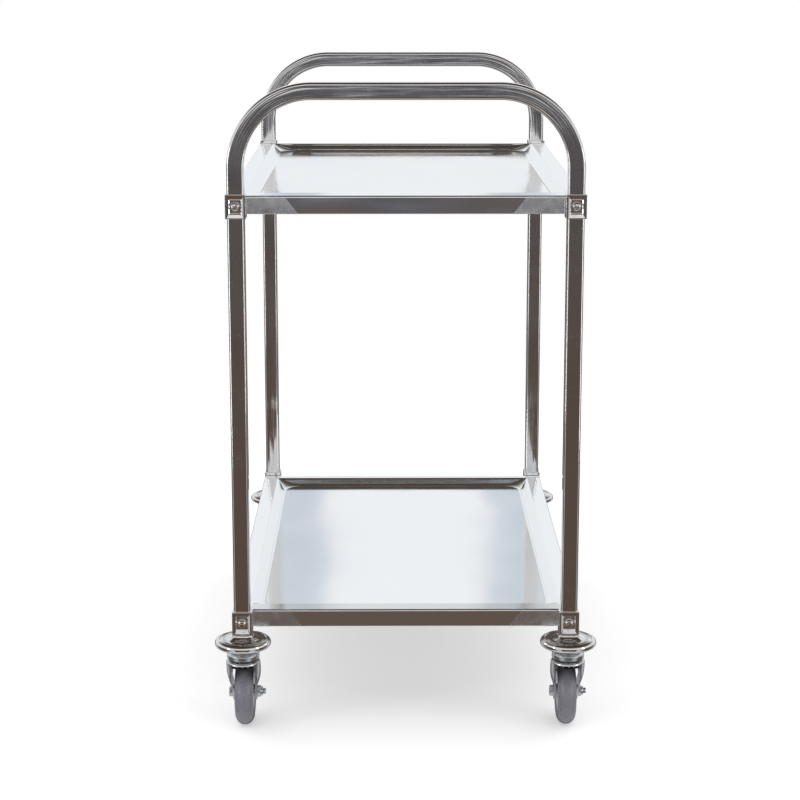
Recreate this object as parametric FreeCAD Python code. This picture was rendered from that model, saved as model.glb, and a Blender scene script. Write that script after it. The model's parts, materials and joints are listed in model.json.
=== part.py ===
import FreeCAD, Part
import math
import os

# Two-tier service trolley on four swivel casters.
# Two bent square-tube hoops stand at the ends and carry two pressed trays between them.
# Origin: on the floor, under the middle of the trolley.
# +Z is up, +Y runs along the trays, +X runs across them. All sizes are in millimetres.

Vec = FreeCAD.Vector
UP = Vec(0, 0, 1)
ACROSS = Vec(1, 0, 0)
ALONG = Vec(0, 1, 0)
ORIGIN = Vec(0, 0, 0)

# ---- Driving dimensions -------------------------------------------------------------
WIDTH_OVER_POSTS = 560.0
LENGTH_OVER_HOOPS = 950.0
HEIGHT = 1062.0

TUBE = 27.0
TUBE_CORNER = 4.0
TUBE_WALL = 1.2
HOOP_BEND = 120.0
POST_FOOT_Z = 158.0

TRAY_RIM_Z = {"upper": 885.5, "lower": 204.5}
TRAY_SIDE_OVERHANG = 2.5
SHEET = 1.0
APRON = 31.0
APRON_BEND = 3.0
APRON_RETURN = 9.0
RIM_STRIP = 27.0
RIM_FALL = 2.0
STEP_STRIP = 20.0
STEP_DROP = 12.5
STEP_START_SLOPE = 0.45
STEP_ROWS = 6
RIM_CORNER = 6.0
CREASE_CORNER = 7.0
PANEL_CORNER = 35.0

STIFFENER_Y = (-165.0, 165.0)
STIFFENER_LENGTH = 440.0
STIFFENER_TOP = 24.0
STIFFENER_FLANGE = 12.0
STIFFENER_DEPTH = 14.0

BRACKET_HEIGHT = 38.0
BRACKET_SIDE = 2.75
BRACKET_BACK = 3.0
BRACKET_FRONT = 3.4
BRACKET_EDGE = 2.0
BRACKET_FIT = 0.05
DISH_MOUTH = (26.0, 35.0)
DISH_SHELF = (20.5, 25.0)
DISH_SHELF_DEPTH = 0.8
DISH_SEAT = (17.5, 20.0)
DISH_DEPTH = 1.9
SEAT_RING_R = 8.2
SEAT_RING_RISE = 0.6

SCREW_R = 3.0
SCREW_HOLE_R = 3.25
SCREW_HEAD_R = 6.5
SCREW_HEAD_RIM = 1.9
SCREW_HEAD_HEIGHT = 4.2
SCREW_END = 2.0
CROSS_LENGTH = 7.4
CROSS_WIDTH = 1.5
CROSS_DEPTH = 2.4
NUT_FLATS = 10.0
NUT_THICKNESS = 5.0
NUT_FIT = 0.05

BUMPER_R = 46.0
BUMPER_Z = 145.3
BUMPER_RIM = 14.4
BUMPER_GROOVE_R = 37.5
BUMPER_GROOVE = 1.2
COLLAR_WALL = 1.7
COLLAR_FIT = 0.1
COLLAR_TOP_Z = 169.0
BUMPER_WALL = 3.0

STEM_R = 6.0
STEM_TOP_Z = 180.0
PLUG_TOP_Z = 183.0
PLUG_FIT = 0.1
CUP_TOP_R = 19.0
CUP_TOP_Z = 147.0
CUP_R = 26.5
CUP_SHOULDER_Z = 136.0
CUP_LIP_Z = 126.5
CUP_LIP = 2.5
CUP_FACE_Z = 129.6

CROWN_TOP_Z = 124.0
CROWN_PLATE = 3.0
CROWN_R = 28.0
CROWN_SHOULDER = 5.0
CROWN_LIP_Z = CROWN_TOP_Z - CROWN_SHOULDER
CROWN_HOLE_R = 6.8
FORK_SHEET = 2.5
LEG_HALF_CHORD = 22.3

RACE_R = 24.0
RACE_TOP_Z = 115.2
RACE_THICKNESS = 2.4
RIVET_R = 9.0
RIVET_HEIGHT = 2.4
UPPER_BALLS = (14, 20.0, 2.4, 126.9)
LOWER_BALLS = (16, 22.5, 2.2, 117.6)

WHEEL_R = 55.0
TRAIL = 36.0
TYRE_HALF_WIDTH = 15.5
TYRE_SIDE_R = 39.4
TYRE_BORE_R = 34.0
TYRE_BEAD_HALF = 14.0
HUB_FIT = 0.05
HUB_BORE_R = 7.0
HUB_BOSS_R = 12.0
HUB_BOSS_HALF = 16.7
HUB_WEB_HALF = 4.5
HUB_RIM_R = 28.5
HUB_RIM_HALF = 13.2

AXLE_R = 5.0
AXLE_FIT = 0.1
LEG_FACE = 19.7
LEG_END_R = 14.0
SEAT_R = 11.0
SLEEVE_R = 6.95
BOLT_HEAD_FLATS = 16.0
BOLT_HEAD = 6.7
AXLE_NUT_FLATS = 17.0
AXLE_NUT = 9.6
AXLE_STUB = 4.8
FACE_GAP = 0.05

# ---- Worked out from the driving dimensions -------------------------------------------
POST_X = (WIDTH_OVER_POSTS - TUBE) / 2
POST_Y = (LENGTH_OVER_HOOPS - TUBE) / 2
HOOP_BAR_Z = HEIGHT - TUBE / 2
TRAY_HALF_X = WIDTH_OVER_POSTS / 2 + TRAY_SIDE_OVERHANG
TRAY_HALF_Y = LENGTH_OVER_HOOPS / 2 - TUBE - BRACKET_BACK
BRACKET_MID_Z = {tier: rim - APRON / 2 for tier, rim in TRAY_RIM_Z.items()}
ENDS = {"front": -1, "rear": 1}
SIDES = {"left": -1, "right": 1}
CORNERS = [(end, side) for end in ENDS for side in SIDES]


# ---- Small geometry helpers -------------------------------------------------------------
def rounded_rectangle(half_x, half_y, radius, z):
    """Closed outline of four sides and four quarter arcs in a level plane."""
    in_x = half_x - radius
    in_y = half_y - radius
    near = radius * (1 - math.sqrt(0.5))
    edges = []
    for sx, sy in ((1, 1), (-1, 1), (-1, -1), (1, -1)):
        on_x_side = Vec(sx * half_x, sy * in_y, z)
        on_y_side = Vec(sx * in_x, sy * half_y, z)
        middle = Vec(sx * (half_x - near), sy * (half_y - near), z)
        first, last = (on_x_side, on_y_side) if sx == sy else (on_y_side, on_x_side)
        if edges:
            edges.append(Part.LineSegment(edges[-1].Vertexes[-1].Point, first).toShape())
        edges.append(Part.Arc(first, middle, last).toShape())
    start = edges[0].Vertexes[0].Point
    edges.append(Part.LineSegment(edges[-1].Vertexes[-1].Point, start).toShape())
    return Part.Wire(edges)


def square_bar(width, corner, low_z, high_z, x=0.0, y=0.0):
    """Upright bar of square section with rounded corners."""
    outline = rounded_rectangle(width / 2, width / 2, corner, low_z)
    bar = Part.Face(outline).extrude(Vec(0, 0, high_z - low_z))
    bar.translate(Vec(x, y, 0))
    return bar


def profile_face(start, steps):
    """Closed face in the XZ plane from (x, z) points; an arc step also gives its middle."""
    here = Vec(start[0], 0, start[1])
    first = here
    edges = []
    for step in steps:
        there = Vec(step[-2], 0, step[-1])
        if len(step) == 4:
            edges.append(Part.Arc(here, Vec(step[0], 0, step[1]), there).toShape())
        else:
            edges.append(Part.LineSegment(here, there).toShape())
        here = there
    edges.append(Part.LineSegment(here, first).toShape())
    return Part.Face(Part.Wire(edges))


def turned(start, steps):
    """Solid of revolution about the Z axis."""
    return profile_face(start, steps).revolve(ORIGIN, UP, 360)


def upright_cylinder(radius, low_z, high_z):
    return Part.makeCylinder(radius, high_z - low_z, Vec(0, 0, low_z), UP)


def hexagon_bar(flats, length, base, direction):
    """Hexagonal prism that starts at base and runs along direction."""
    corner_r = flats / math.sqrt(3)
    points = []
    for i in range(7):
        angle = math.radians(60 * i)
        points.append(Vec(corner_r * math.cos(angle), corner_r * math.sin(angle), 0))
    prism = Part.Face(Part.makePolygon(points)).extrude(Vec(0, 0, length))
    prism.Placement = FreeCAD.Placement(base, FreeCAD.Rotation(UP, direction))
    return prism


def arc_middle(centre, radius, start_deg, end_deg):
    """Point half way round an arc, as (x, z)."""
    angle = math.radians((start_deg + end_deg) / 2)
    return centre[0] + radius * math.cos(angle), centre[1] + radius * math.sin(angle)


# ---- Hoops: one bent square tube each, both posts and the push bar ----------------------
def hoop_path(y):
    top = HOOP_BAR_Z
    turn_z = top - HOOP_BEND
    turn_x = POST_X - HOOP_BEND
    reach = HOOP_BEND * math.sqrt(0.5)
    points = [Vec(-POST_X, y, POST_FOOT_Z), Vec(-POST_X, y, turn_z), Vec(-turn_x, y, top)]
    points += [Vec(turn_x, y, top), Vec(POST_X, y, turn_z), Vec(POST_X, y, POST_FOOT_Z)]
    left_bend = Vec(-turn_x - reach, y, turn_z + reach)
    right_bend = Vec(turn_x + reach, y, turn_z + reach)
    return Part.Wire([
        Part.LineSegment(points[0], points[1]).toShape(),
        Part.Arc(points[1], left_bend, points[2]).toShape(),
        Part.LineSegment(points[2], points[3]).toShape(),
        Part.Arc(points[3], right_bend, points[4]).toShape(),
        Part.LineSegment(points[4], points[5]).toShape(),
    ])


def swept_square(path, width, corner):
    outline = rounded_rectangle(width / 2, width / 2, corner, 0)
    outline.translate(path.Vertexes[0].Point)
    return path.makePipeShell([outline], True, False)


def make_hoop(y):
    path = hoop_path(y)
    outside = swept_square(path, TUBE, TUBE_CORNER)
    inside = swept_square(path, TUBE - 2 * TUBE_WALL, TUBE_CORNER - TUBE_WALL)
    hoop = outside.cut(inside)
    for x in (-POST_X, POST_X):
        for mid_z in BRACKET_MID_Z.values():
            hole_start = Vec(x, y - TUBE, mid_z)
            hoop = hoop.cut(Part.makeCylinder(SCREW_HOLE_R, 2 * TUBE, hole_start, ALONG))
    return hoop


# ---- Trays: pressed sheet with an apron, a raised rim and a sunk panel ------------------
def step_drop(u):
    """Fall of the step between rim crease and panel, with u from 0 to 1 across it."""
    ease = u * u * (3 - 2 * u)
    leave = u * (1 - u) * (1 - u)
    return STEP_DROP * ease + STEP_START_SLOPE * STEP_STRIP * leave


def tray_rows(thickness):
    """Rows of (inset, drop, corner radius) over the top skin, or under it by a thickness."""
    rows = []
    bend_r = APRON_BEND - thickness
    for i in range(4):
        angle = math.radians(180 - 30 * i)
        inset = APRON_BEND + bend_r * math.cos(angle)
        drop = RIM_FALL + APRON_BEND - bend_r * math.sin(angle)
        rows.append((inset, drop, RIM_CORNER))
    for i in range(STEP_ROWS + 1):
        u = i / STEP_ROWS
        ease = u * u * (3 - 2 * u)
        corner = CREASE_CORNER + (PANEL_CORNER - CREASE_CORNER) * ease
        rows.append((RIM_STRIP + STEP_STRIP * u, step_drop(u) + thickness, corner))
    return rows


def loft_rows(rows, rim_z):
    wires = []
    for inset, drop, corner in rows:
        half_x = TRAY_HALF_X - inset
        half_y = TRAY_HALF_Y - inset
        wires.append(rounded_rectangle(half_x, half_y, corner, rim_z - drop))
    return Part.makeLoft(wires, True, True)


def make_tray(tier):
    rim_z = TRAY_RIM_Z[tier]
    outside = loft_rows([(0, APRON, RIM_CORNER)] + tray_rows(0), rim_z)
    inside = loft_rows([(SHEET, APRON - SHEET, RIM_CORNER)] + tray_rows(SHEET), rim_z)
    way_in = rounded_rectangle(
        TRAY_HALF_X - APRON_RETURN, TRAY_HALF_Y - APRON_RETURN, RIM_CORNER, rim_z - APRON - 1
    )
    inside = inside.fuse(Part.Face(way_in).extrude(Vec(0, 0, 2 * SHEET)))
    tray = outside.cut(inside)
    for x in (-POST_X, POST_X):
        hole_start = Vec(x, -LENGTH_OVER_HOOPS / 2, BRACKET_MID_Z[tier])
        tray = tray.cut(Part.makeCylinder(SCREW_HOLE_R, LENGTH_OVER_HOOPS, hole_start, ALONG))
    return tray


def make_stiffeners(tier):
    """Hat-section channels welded across the underside of the panel."""
    top = TRAY_RIM_Z[tier] - STEP_DROP - SHEET
    half_top = STIFFENER_TOP / 2
    half_foot = half_top + STIFFENER_FLANGE
    low = top - STIFFENER_DEPTH
    steps = [
        (half_top, top), (half_top, low + SHEET), (-half_top, low + SHEET), (-half_top, top),
        (-half_foot, top), (-half_foot, top - SHEET), (-half_top - SHEET, top - SHEET),
        (-half_top - SHEET, low), (half_top + SHEET, low), (half_top + SHEET, top - SHEET),
        (half_foot, top - SHEET),
    ]
    section = profile_face((half_foot, top), steps)
    section.rotate(ORIGIN, UP, 90)
    channels = []
    for y in STIFFENER_Y:
        channel = section.extrude(Vec(STIFFENER_LENGTH, 0, 0))
        channel.translate(Vec(-STIFFENER_LENGTH / 2, y, 0))
        channels.append(channel)
    return Part.makeCompound(channels)


# ---- Corner brackets, with their screws and nuts ------------------------------------------
def level_rectangle(width, height, z):
    half_w = width / 2
    half_h = height / 2
    corners = [(-half_w, -half_h), (half_w, -half_h), (half_w, half_h), (-half_w, half_h)]
    return Part.makePolygon([Vec(x, y, z) for x, y in corners + corners[:1]])


def facing(shape, x, face_y, z, end):
    """Puts a shape built along +Z, seat at z = 0, on a post's outer face."""
    outward = Vec(0, end, 0)
    base = Vec(x, end * face_y, z)
    turn = FreeCAD.Rotation(ACROSS, Vec(0, 0, 1), outward, "XZY")
    shape.Placement = FreeCAD.Placement(base, turn)
    return shape


def make_bracket(end, side, tier):
    x = SIDES[side] * POST_X
    mid_z = BRACKET_MID_Z[tier]
    out_y = LENGTH_OVER_HOOPS / 2 + BRACKET_FRONT
    width = TUBE + 2 * BRACKET_SIDE
    depth = out_y - TRAY_HALF_Y
    low_z = mid_z - BRACKET_HEIGHT / 2
    block = Part.makeBox(width, depth, BRACKET_HEIGHT, Vec(-width / 2, 0, low_z))
    uprights = [e for e in block.Edges if abs(e.Vertexes[0].Z - e.Vertexes[1].Z) > 1]
    block = block.makeFillet(BRACKET_EDGE, uprights)
    start_y = TRAY_HALF_Y if end > 0 else -out_y
    block.translate(Vec(x, start_y, 0))
    passage = TUBE + 2 * BRACKET_FIT
    corner = TUBE_CORNER + BRACKET_FIT
    post = square_bar(passage, corner, low_z - 1, low_z + BRACKET_HEIGHT + 1, x, end * POST_Y)
    mouth = level_rectangle(DISH_MOUTH[0], DISH_MOUTH[1], 0)
    shelf = level_rectangle(DISH_SHELF[0], DISH_SHELF[1], -DISH_SHELF_DEPTH)
    seat = level_rectangle(DISH_SEAT[0], DISH_SEAT[1], -DISH_DEPTH)
    dish = facing(Part.makeLoft([mouth, shelf, seat], True, True), x, out_y, mid_z, end)
    ring = Part.makeCylinder(SEAT_RING_R, SEAT_RING_RISE)
    ring = facing(ring, x, out_y - DISH_DEPTH, mid_z, end)
    hole = Part.makeCylinder(SCREW_HOLE_R, 2 * depth, Vec(0, 0, -1.5 * depth))
    hole = facing(hole, x, out_y, mid_z, end)
    return block.cut(post).cut(dish).fuse(ring).cut(hole)


def make_screw(x, end, mid_z):
    """Pan-head screw with a cross recess, built along +Z with its seat at z = 0."""
    seat_y = LENGTH_OVER_HOOPS / 2 + BRACKET_FRONT - DISH_DEPTH + SEAT_RING_RISE
    shank = seat_y - TRAY_HALF_Y + SHEET + NUT_THICKNESS + SCREW_END
    crown = arc_middle((0, 0), SCREW_HEAD_R, 0, 90)
    dome = SCREW_HEAD_HEIGHT - SCREW_HEAD_RIM
    dome_middle = (crown[0], SCREW_HEAD_RIM + dome * math.sqrt(0.5))
    steps = [
        (SCREW_R, -shank), (SCREW_R, 0), (SCREW_HEAD_R, 0), (SCREW_HEAD_R, SCREW_HEAD_RIM),
        dome_middle + (0, SCREW_HEAD_HEIGHT),
    ]
    screw = turned((0, -shank), steps)
    recess_low = SCREW_HEAD_HEIGHT - CROSS_DEPTH
    for length, width in ((CROSS_LENGTH, CROSS_WIDTH), (CROSS_WIDTH, CROSS_LENGTH)):
        corner = Vec(-length / 2, -width / 2, recess_low)
        screw = screw.cut(Part.makeBox(length, width, 2 * CROSS_DEPTH, corner))
    return facing(screw, x, seat_y, mid_z, end)


def make_nut(x, end, mid_z):
    base = Vec(x, end * (TRAY_HALF_Y - SHEET), mid_z)
    inward = Vec(0, -end, 0)
    nut = hexagon_bar(NUT_FLATS, NUT_THICKNESS, base, inward)
    return nut.cut(Part.makeCylinder(SCREW_R + NUT_FIT, NUT_THICKNESS, base, inward))


def at_every_joint(make_one):
    pieces = []
    for mid_z in BRACKET_MID_Z.values():
        for end in ENDS.values():
            for x in (-POST_X, POST_X):
                pieces.append(make_one(x, end, mid_z))
    return Part.makeCompound(pieces)


# ---- Post feet: round bumper with a square collar, and a threaded plug -------------------
def make_bumper():
    rim_top = BUMPER_Z + BUMPER_RIM
    rim_r = BUMPER_RIM / 2
    collar_half = TUBE / 2 + COLLAR_FIT + COLLAR_WALL
    groove_out = BUMPER_GROOVE_R + BUMPER_GROOVE
    groove_in = BUMPER_GROOVE_R - BUMPER_GROOVE
    flare_foot_r = groove_in - 2 * BUMPER_GROOVE
    flare_middle = (collar_half + 5.0, rim_top + 1.5)
    steps = [
        (BUMPER_R - rim_r, BUMPER_Z),
        (BUMPER_R, BUMPER_Z + rim_r, BUMPER_R - rim_r, rim_top),
        (groove_out, rim_top),
        (BUMPER_GROOVE_R, rim_top - BUMPER_GROOVE, groove_in, rim_top),
        (flare_foot_r, rim_top),
        flare_middle + (collar_half, COLLAR_TOP_Z - 4.0),
        (0, COLLAR_TOP_Z - 4.0),
    ]
    bumper = turned((0, BUMPER_Z), steps)
    collar_corner = TUBE_CORNER + COLLAR_FIT + COLLAR_WALL
    collar = square_bar(2 * collar_half, collar_corner, BUMPER_Z + BUMPER_RIM / 2, COLLAR_TOP_Z)
    socket_width = TUBE + 2 * COLLAR_FIT
    socket = square_bar(socket_width, TUBE_CORNER + COLLAR_FIT, POST_FOOT_Z, COLLAR_TOP_Z + 1)
    hollow_steps = [
        (BUMPER_R - BUMPER_WALL - 2, BUMPER_Z - 1),
        (BUMPER_R - BUMPER_WALL - 2, rim_top - BUMPER_WALL),
        (CUP_TOP_R + BUMPER_WALL, rim_top - BUMPER_WALL),
    ]
    hollow = turned((CUP_TOP_R + BUMPER_WALL, BUMPER_Z - 1), hollow_steps)
    stem_hole = upright_cylinder(STEM_R + PLUG_FIT, BUMPER_Z - 1, COLLAR_TOP_Z)
    cup_seat = upright_cylinder(CUP_TOP_R + BUMPER_WALL + 1, BUMPER_Z - 1, CUP_TOP_Z)
    return bumper.fuse(collar).cut(socket).cut(hollow).cut(stem_hole).cut(cup_seat)


def make_plug():
    width = TUBE - 2 * TUBE_WALL - 2 * PLUG_FIT
    corner = TUBE_CORNER - TUBE_WALL
    plug = square_bar(width, corner, POST_FOOT_Z, PLUG_TOP_Z)
    return plug.cut(upright_cylinder(STEM_R + PLUG_FIT, POST_FOOT_Z - 1, PLUG_TOP_Z + 1))


# ---- Caster, built round its swivel axis, with the wheel trailing along +Y ----------------
def make_caster_head():
    """Threaded stem, upper race cup and king pin, one riveted piece."""
    rivet_low = RACE_TOP_Z - RACE_THICKNESS - RIVET_HEIGHT
    steps = [
        (RIVET_R, rivet_low), (RIVET_R, rivet_low + RIVET_HEIGHT),
        (STEM_R, rivet_low + RIVET_HEIGHT), (STEM_R, CUP_FACE_Z),
        (CUP_R - CUP_LIP, CUP_FACE_Z), (CUP_R - CUP_LIP, CUP_LIP_Z),
        (CUP_R, CUP_LIP_Z + 0.6), (CUP_R, CUP_SHOULDER_Z), (CUP_TOP_R, CUP_TOP_Z),
        (STEM_R, CUP_TOP_Z), (STEM_R, STEM_TOP_Z - 1.5), (STEM_R - 1.5, STEM_TOP_Z),
        (0, STEM_TOP_Z),
    ]
    return turned((0, rivet_low), steps)


def make_lower_race():
    plate = upright_cylinder(RACE_R, RACE_TOP_Z - RACE_THICKNESS, RACE_TOP_Z)
    return plate.cut(upright_cylinder(STEM_R + PLUG_FIT, RACE_TOP_Z - 2 * RACE_R, RACE_TOP_Z + 1))


def make_balls():
    balls = []
    for count, pitch_r, ball_r, z in (UPPER_BALLS, LOWER_BALLS):
        for i in range(count):
            angle = 2 * math.pi * i / count
            centre = Vec(pitch_r * math.sin(angle), pitch_r * math.cos(angle), z)
            balls.append(Part.makeSphere(ball_r, centre))
    return Part.makeCompound(balls)


def axle_cylinder(radius, start_x, end_x):
    return Part.makeCylinder(radius, end_x - start_x, Vec(start_x, TRAIL, WHEEL_R), ACROSS)


def leg_section(z, y, half_chord, edge_x, middle_x):
    """Level section of one fork leg: a bowed strip of constant thickness."""
    rise = middle_x - edge_x
    radius = (half_chord ** 2 + rise ** 2) / (2 * rise)
    centre_x = middle_x - radius
    half_angle = math.asin(half_chord / radius)
    arcs = []
    for r in (radius, radius - FORK_SHEET):
        points = []
        for angle in (-half_angle, 0, half_angle):
            points.append(Vec(centre_x + r * math.cos(angle), y + r * math.sin(angle), z))
        arcs.append(points)
    outer, inner = arcs
    return Part.Wire([
        Part.Arc(outer[0], outer[1], outer[2]).toShape(),
        Part.LineSegment(outer[2], inner[2]).toShape(),
        Part.Arc(inner[2], inner[1], inner[0]).toShape(),
        Part.LineSegment(inner[0], outer[0]).toShape(),
    ])


def tangent_point(from_y, from_z, side):
    """Where the line from a point touches the rounded leg end, on the given side."""
    dy = TRAIL - from_y
    dz = WHEEL_R - from_z
    distance = math.hypot(dy, dz)
    along = math.atan2(dz, dy)
    angle = along + math.pi - side * math.acos(LEG_END_R / distance)
    return TRAIL + LEG_END_R * math.cos(angle), WHEEL_R + LEG_END_R * math.sin(angle)


def leg_outline():
    """Side view of a leg: wide at the crown, rounded about the axle."""
    top = CROWN_LIP_Z
    leading = tangent_point(-LEG_HALF_CHORD, top, -1)
    trailing = tangent_point(LEG_HALF_CHORD, top, 1)
    points = [(-LEG_HALF_CHORD, top), leading, trailing, (LEG_HALF_CHORD, top)]
    corners = [Vec(0, y, z) for y, z in points]
    lowest = Vec(0, TRAIL - LEG_END_R * 0.3, WHEEL_R - LEG_END_R * math.sqrt(1 - 0.3 ** 2))
    outline = Part.Wire([
        Part.LineSegment(corners[0], corners[1]).toShape(),
        Part.Arc(corners[1], lowest, corners[2]).toShape(),
        Part.LineSegment(corners[2], corners[3]).toShape(),
        Part.LineSegment(corners[3], corners[0]).toShape(),
    ])
    return Part.Face(outline).extrude(Vec(2 * CROWN_R, 0, 0))


def make_fork():
    crown_edge = math.sqrt(CROWN_R ** 2 - LEG_HALF_CHORD ** 2)
    low_z = WHEEL_R - LEG_END_R - 2
    sections = [
        leg_section(CROWN_LIP_Z, 0, LEG_HALF_CHORD, crown_edge, CROWN_R),
        leg_section(100, 9, 24, 18.0, 28.0),
        leg_section(85, 19, 26, 18.8, 25.0),
        leg_section(72, 27, 26, 19.3, 21.4),
        leg_section(60, 35, 24, LEG_FACE - 0.2, LEG_FACE),
        leg_section(low_z, 36, 24, LEG_FACE - 0.2, LEG_FACE),
    ]
    leg = Part.makeLoft(sections, True, False).common(leg_outline())
    leg = leg.cut(axle_cylinder(AXLE_R + AXLE_FIT, 0, 2 * CROWN_R))
    leg = leg.cut(axle_cylinder(SEAT_R, LEG_FACE, 2 * CROWN_R))
    leg = leg.cut(axle_cylinder(SEAT_R, 0, LEG_FACE - FORK_SHEET))
    plate_low = CROWN_TOP_Z - CROWN_PLATE
    shoulder_r = CROWN_R - CROWN_SHOULDER
    outer_mid = arc_middle((shoulder_r, CROWN_LIP_Z), CROWN_SHOULDER, 0, 90)
    inner_r = CROWN_R - FORK_SHEET
    inner_bend = plate_low - CROWN_LIP_Z
    inner_mid = arc_middle((inner_r - inner_bend, CROWN_LIP_Z), inner_bend, 0, 90)
    steps = [
        (shoulder_r, CROWN_TOP_Z), outer_mid + (CROWN_R, CROWN_LIP_Z), (inner_r, CROWN_LIP_Z),
        inner_mid + (inner_r - inner_bend, plate_low), (CROWN_HOLE_R, plate_low),
    ]
    crown = turned((CROWN_HOLE_R, CROWN_TOP_Z), steps)
    other_leg = leg.mirror(ORIGIN, ACROSS)
    return crown.fuse([leg, other_leg]).removeSplitter()


def about_axle(face):
    """Solid of revolution about the axle, from a face drawn as (along axle, radius)."""
    solid = face.revolve(ORIGIN, ACROSS, 360)
    solid.translate(Vec(0, TRAIL, WHEEL_R))
    return solid


def make_tyre():
    centre = Vec(0, 0, TYRE_SIDE_R)
    crown = Vec(0, 0, WHEEL_R)
    side = Vec(TYRE_HALF_WIDTH, 0, TYRE_SIDE_R)
    tread = Part.ArcOfEllipse(Part.Ellipse(crown, side, centre), -math.pi / 2, math.pi / 2)
    edges = [tread.toShape()]
    start, end = (v.Point for v in edges[0].Vertexes)
    bead = TYRE_BEAD_HALF if end.x > 0 else -TYRE_BEAD_HALF
    here = end
    for there in (Vec(bead, 0, TYRE_BORE_R), Vec(-bead, 0, TYRE_BORE_R), start):
        edges.append(Part.LineSegment(here, there).toShape())
        here = there
    return about_axle(Part.Face(Part.Wire(edges)))


def make_hub():
    rim_r = TYRE_BORE_R - HUB_FIT
    steps = [
        (HUB_BOSS_HALF, HUB_BOSS_R), (HUB_WEB_HALF, HUB_BOSS_R + 2),
        (HUB_WEB_HALF, HUB_RIM_R - 2), (HUB_RIM_HALF, HUB_RIM_R), (HUB_RIM_HALF, rim_r),
        (-HUB_RIM_HALF, rim_r), (-HUB_RIM_HALF, HUB_RIM_R), (-HUB_WEB_HALF, HUB_RIM_R - 2),
        (-HUB_WEB_HALF, HUB_BOSS_R + 2), (-HUB_BOSS_HALF, HUB_BOSS_R),
        (-HUB_BOSS_HALF, HUB_BORE_R),
    ]
    return about_axle(profile_face((HUB_BOSS_HALF, HUB_BORE_R), steps))


def make_sleeve():
    reach = LEG_FACE - FORK_SHEET - FACE_GAP
    bore = axle_cylinder(AXLE_R + AXLE_FIT, -reach, reach)
    return axle_cylinder(SLEEVE_R, -reach, reach).cut(bore)


def make_axle_bolt():
    face = LEG_FACE + FACE_GAP
    shank = axle_cylinder(AXLE_R, -face, face + AXLE_NUT + AXLE_STUB)
    base = Vec(-face, TRAIL, WHEEL_R)
    return shank.fuse(hexagon_bar(BOLT_HEAD_FLATS, BOLT_HEAD, base, Vec(-1, 0, 0)))


def make_axle_nut():
    face = LEG_FACE + FACE_GAP
    nut = hexagon_bar(AXLE_NUT_FLATS, AXLE_NUT, Vec(face, TRAIL, WHEEL_R), ACROSS)
    return nut.cut(axle_cylinder(AXLE_R + AXLE_FIT, 0, 2 * face + AXLE_NUT))


CASTER_PIECES = {
    "bumper": make_bumper(),
    "caster_head": make_caster_head(),
    "lower_race": make_lower_race(),
    "race_balls": make_balls(),
    "fork": make_fork(),
    "axle_sleeve": make_sleeve(),
    "axle_bolt": make_axle_bolt(),
    "axle_nut": make_axle_nut(),
    "wheel_hub": make_hub(),
    "tyre": make_tyre(),
}


def at_post(shape, end, side):
    """Places a foot piece under a post, turned so that its wheel trails towards the middle."""
    placed = shape.copy()
    if ENDS[end] > 0:
        placed.rotate(ORIGIN, UP, 180)
    placed.translate(Vec(SIDES[side] * POST_X, ENDS[end] * POST_Y, 0))
    return placed


# ---- Every node -----------------------------------------------------------------------------
def all_nodes():
    nodes = {}
    for end in ENDS:
        nodes[end + "_hoop"] = make_hoop(ENDS[end] * POST_Y)
    for tier in TRAY_RIM_Z:
        nodes[tier + "_tray"] = make_tray(tier)
        nodes[tier + "_tray_stiffeners"] = make_stiffeners(tier)
        for end, side in CORNERS:
            name = "_".join((tier, "bracket", end, side))
            nodes[name] = make_bracket(ENDS[end], side, tier)
    nodes["tray_screws"] = at_every_joint(make_screw)
    nodes["tray_nuts"] = at_every_joint(make_nut)
    nodes["post_plugs"] = Part.makeCompound([at_post(make_plug(), *corner) for corner in CORNERS])
    for end, side in CORNERS:
        for piece, shape in CASTER_PIECES.items():
            nodes["_".join((piece, end, side))] = at_post(shape, end, side)
    return nodes


def main():
    os.makedirs("parts", exist_ok=True)
    nodes = all_nodes()
    for name, shape in nodes.items():
        if not shape.isValid():
            print("not valid:", name)
        shape.exportStep("parts/" + name + ".step")
    whole = Part.makeCompound(list(nodes.values())).optimalBoundingBox()
    print(len(nodes), "nodes")
    print("x", round(whole.XMin, 2), round(whole.XMax, 2))
    print("y", round(whole.YMin, 2), round(whole.YMax, 2))
    print("z", round(whole.ZMin, 2), round(whole.ZMax, 2))
    hoop_length = hoop_path(0).Length
    section = Part.Face(rounded_rectangle(TUBE / 2, TUBE / 2, TUBE_CORNER, 0)).Area
    inner_width = TUBE / 2 - TUBE_WALL
    inner = rounded_rectangle(inner_width, inner_width, TUBE_CORNER - TUBE_WALL, 0)
    expected = hoop_length * (section - Part.Face(inner).Area)
    print("hoop volume", round(nodes["front_hoop"].Volume), "of", round(expected))


main()
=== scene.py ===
# %% [markdown]
# # A service trolley in polished stainless steel
# The real trolley is two bent tube hoops with two pressed trays bolted between them, on four
# swivel casters. Its size, its joints and the place of every piece are settled in the frame
# that is loaded here, so this lesson only has to make each piece look like what it is.
# A piece could be placed by eye, but everything below is worked out from the frame's boxes.

# %% Load the frame
import json
import math

import bmesh
import bpy
import numpy as np
from mathutils import Matrix, Vector

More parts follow.
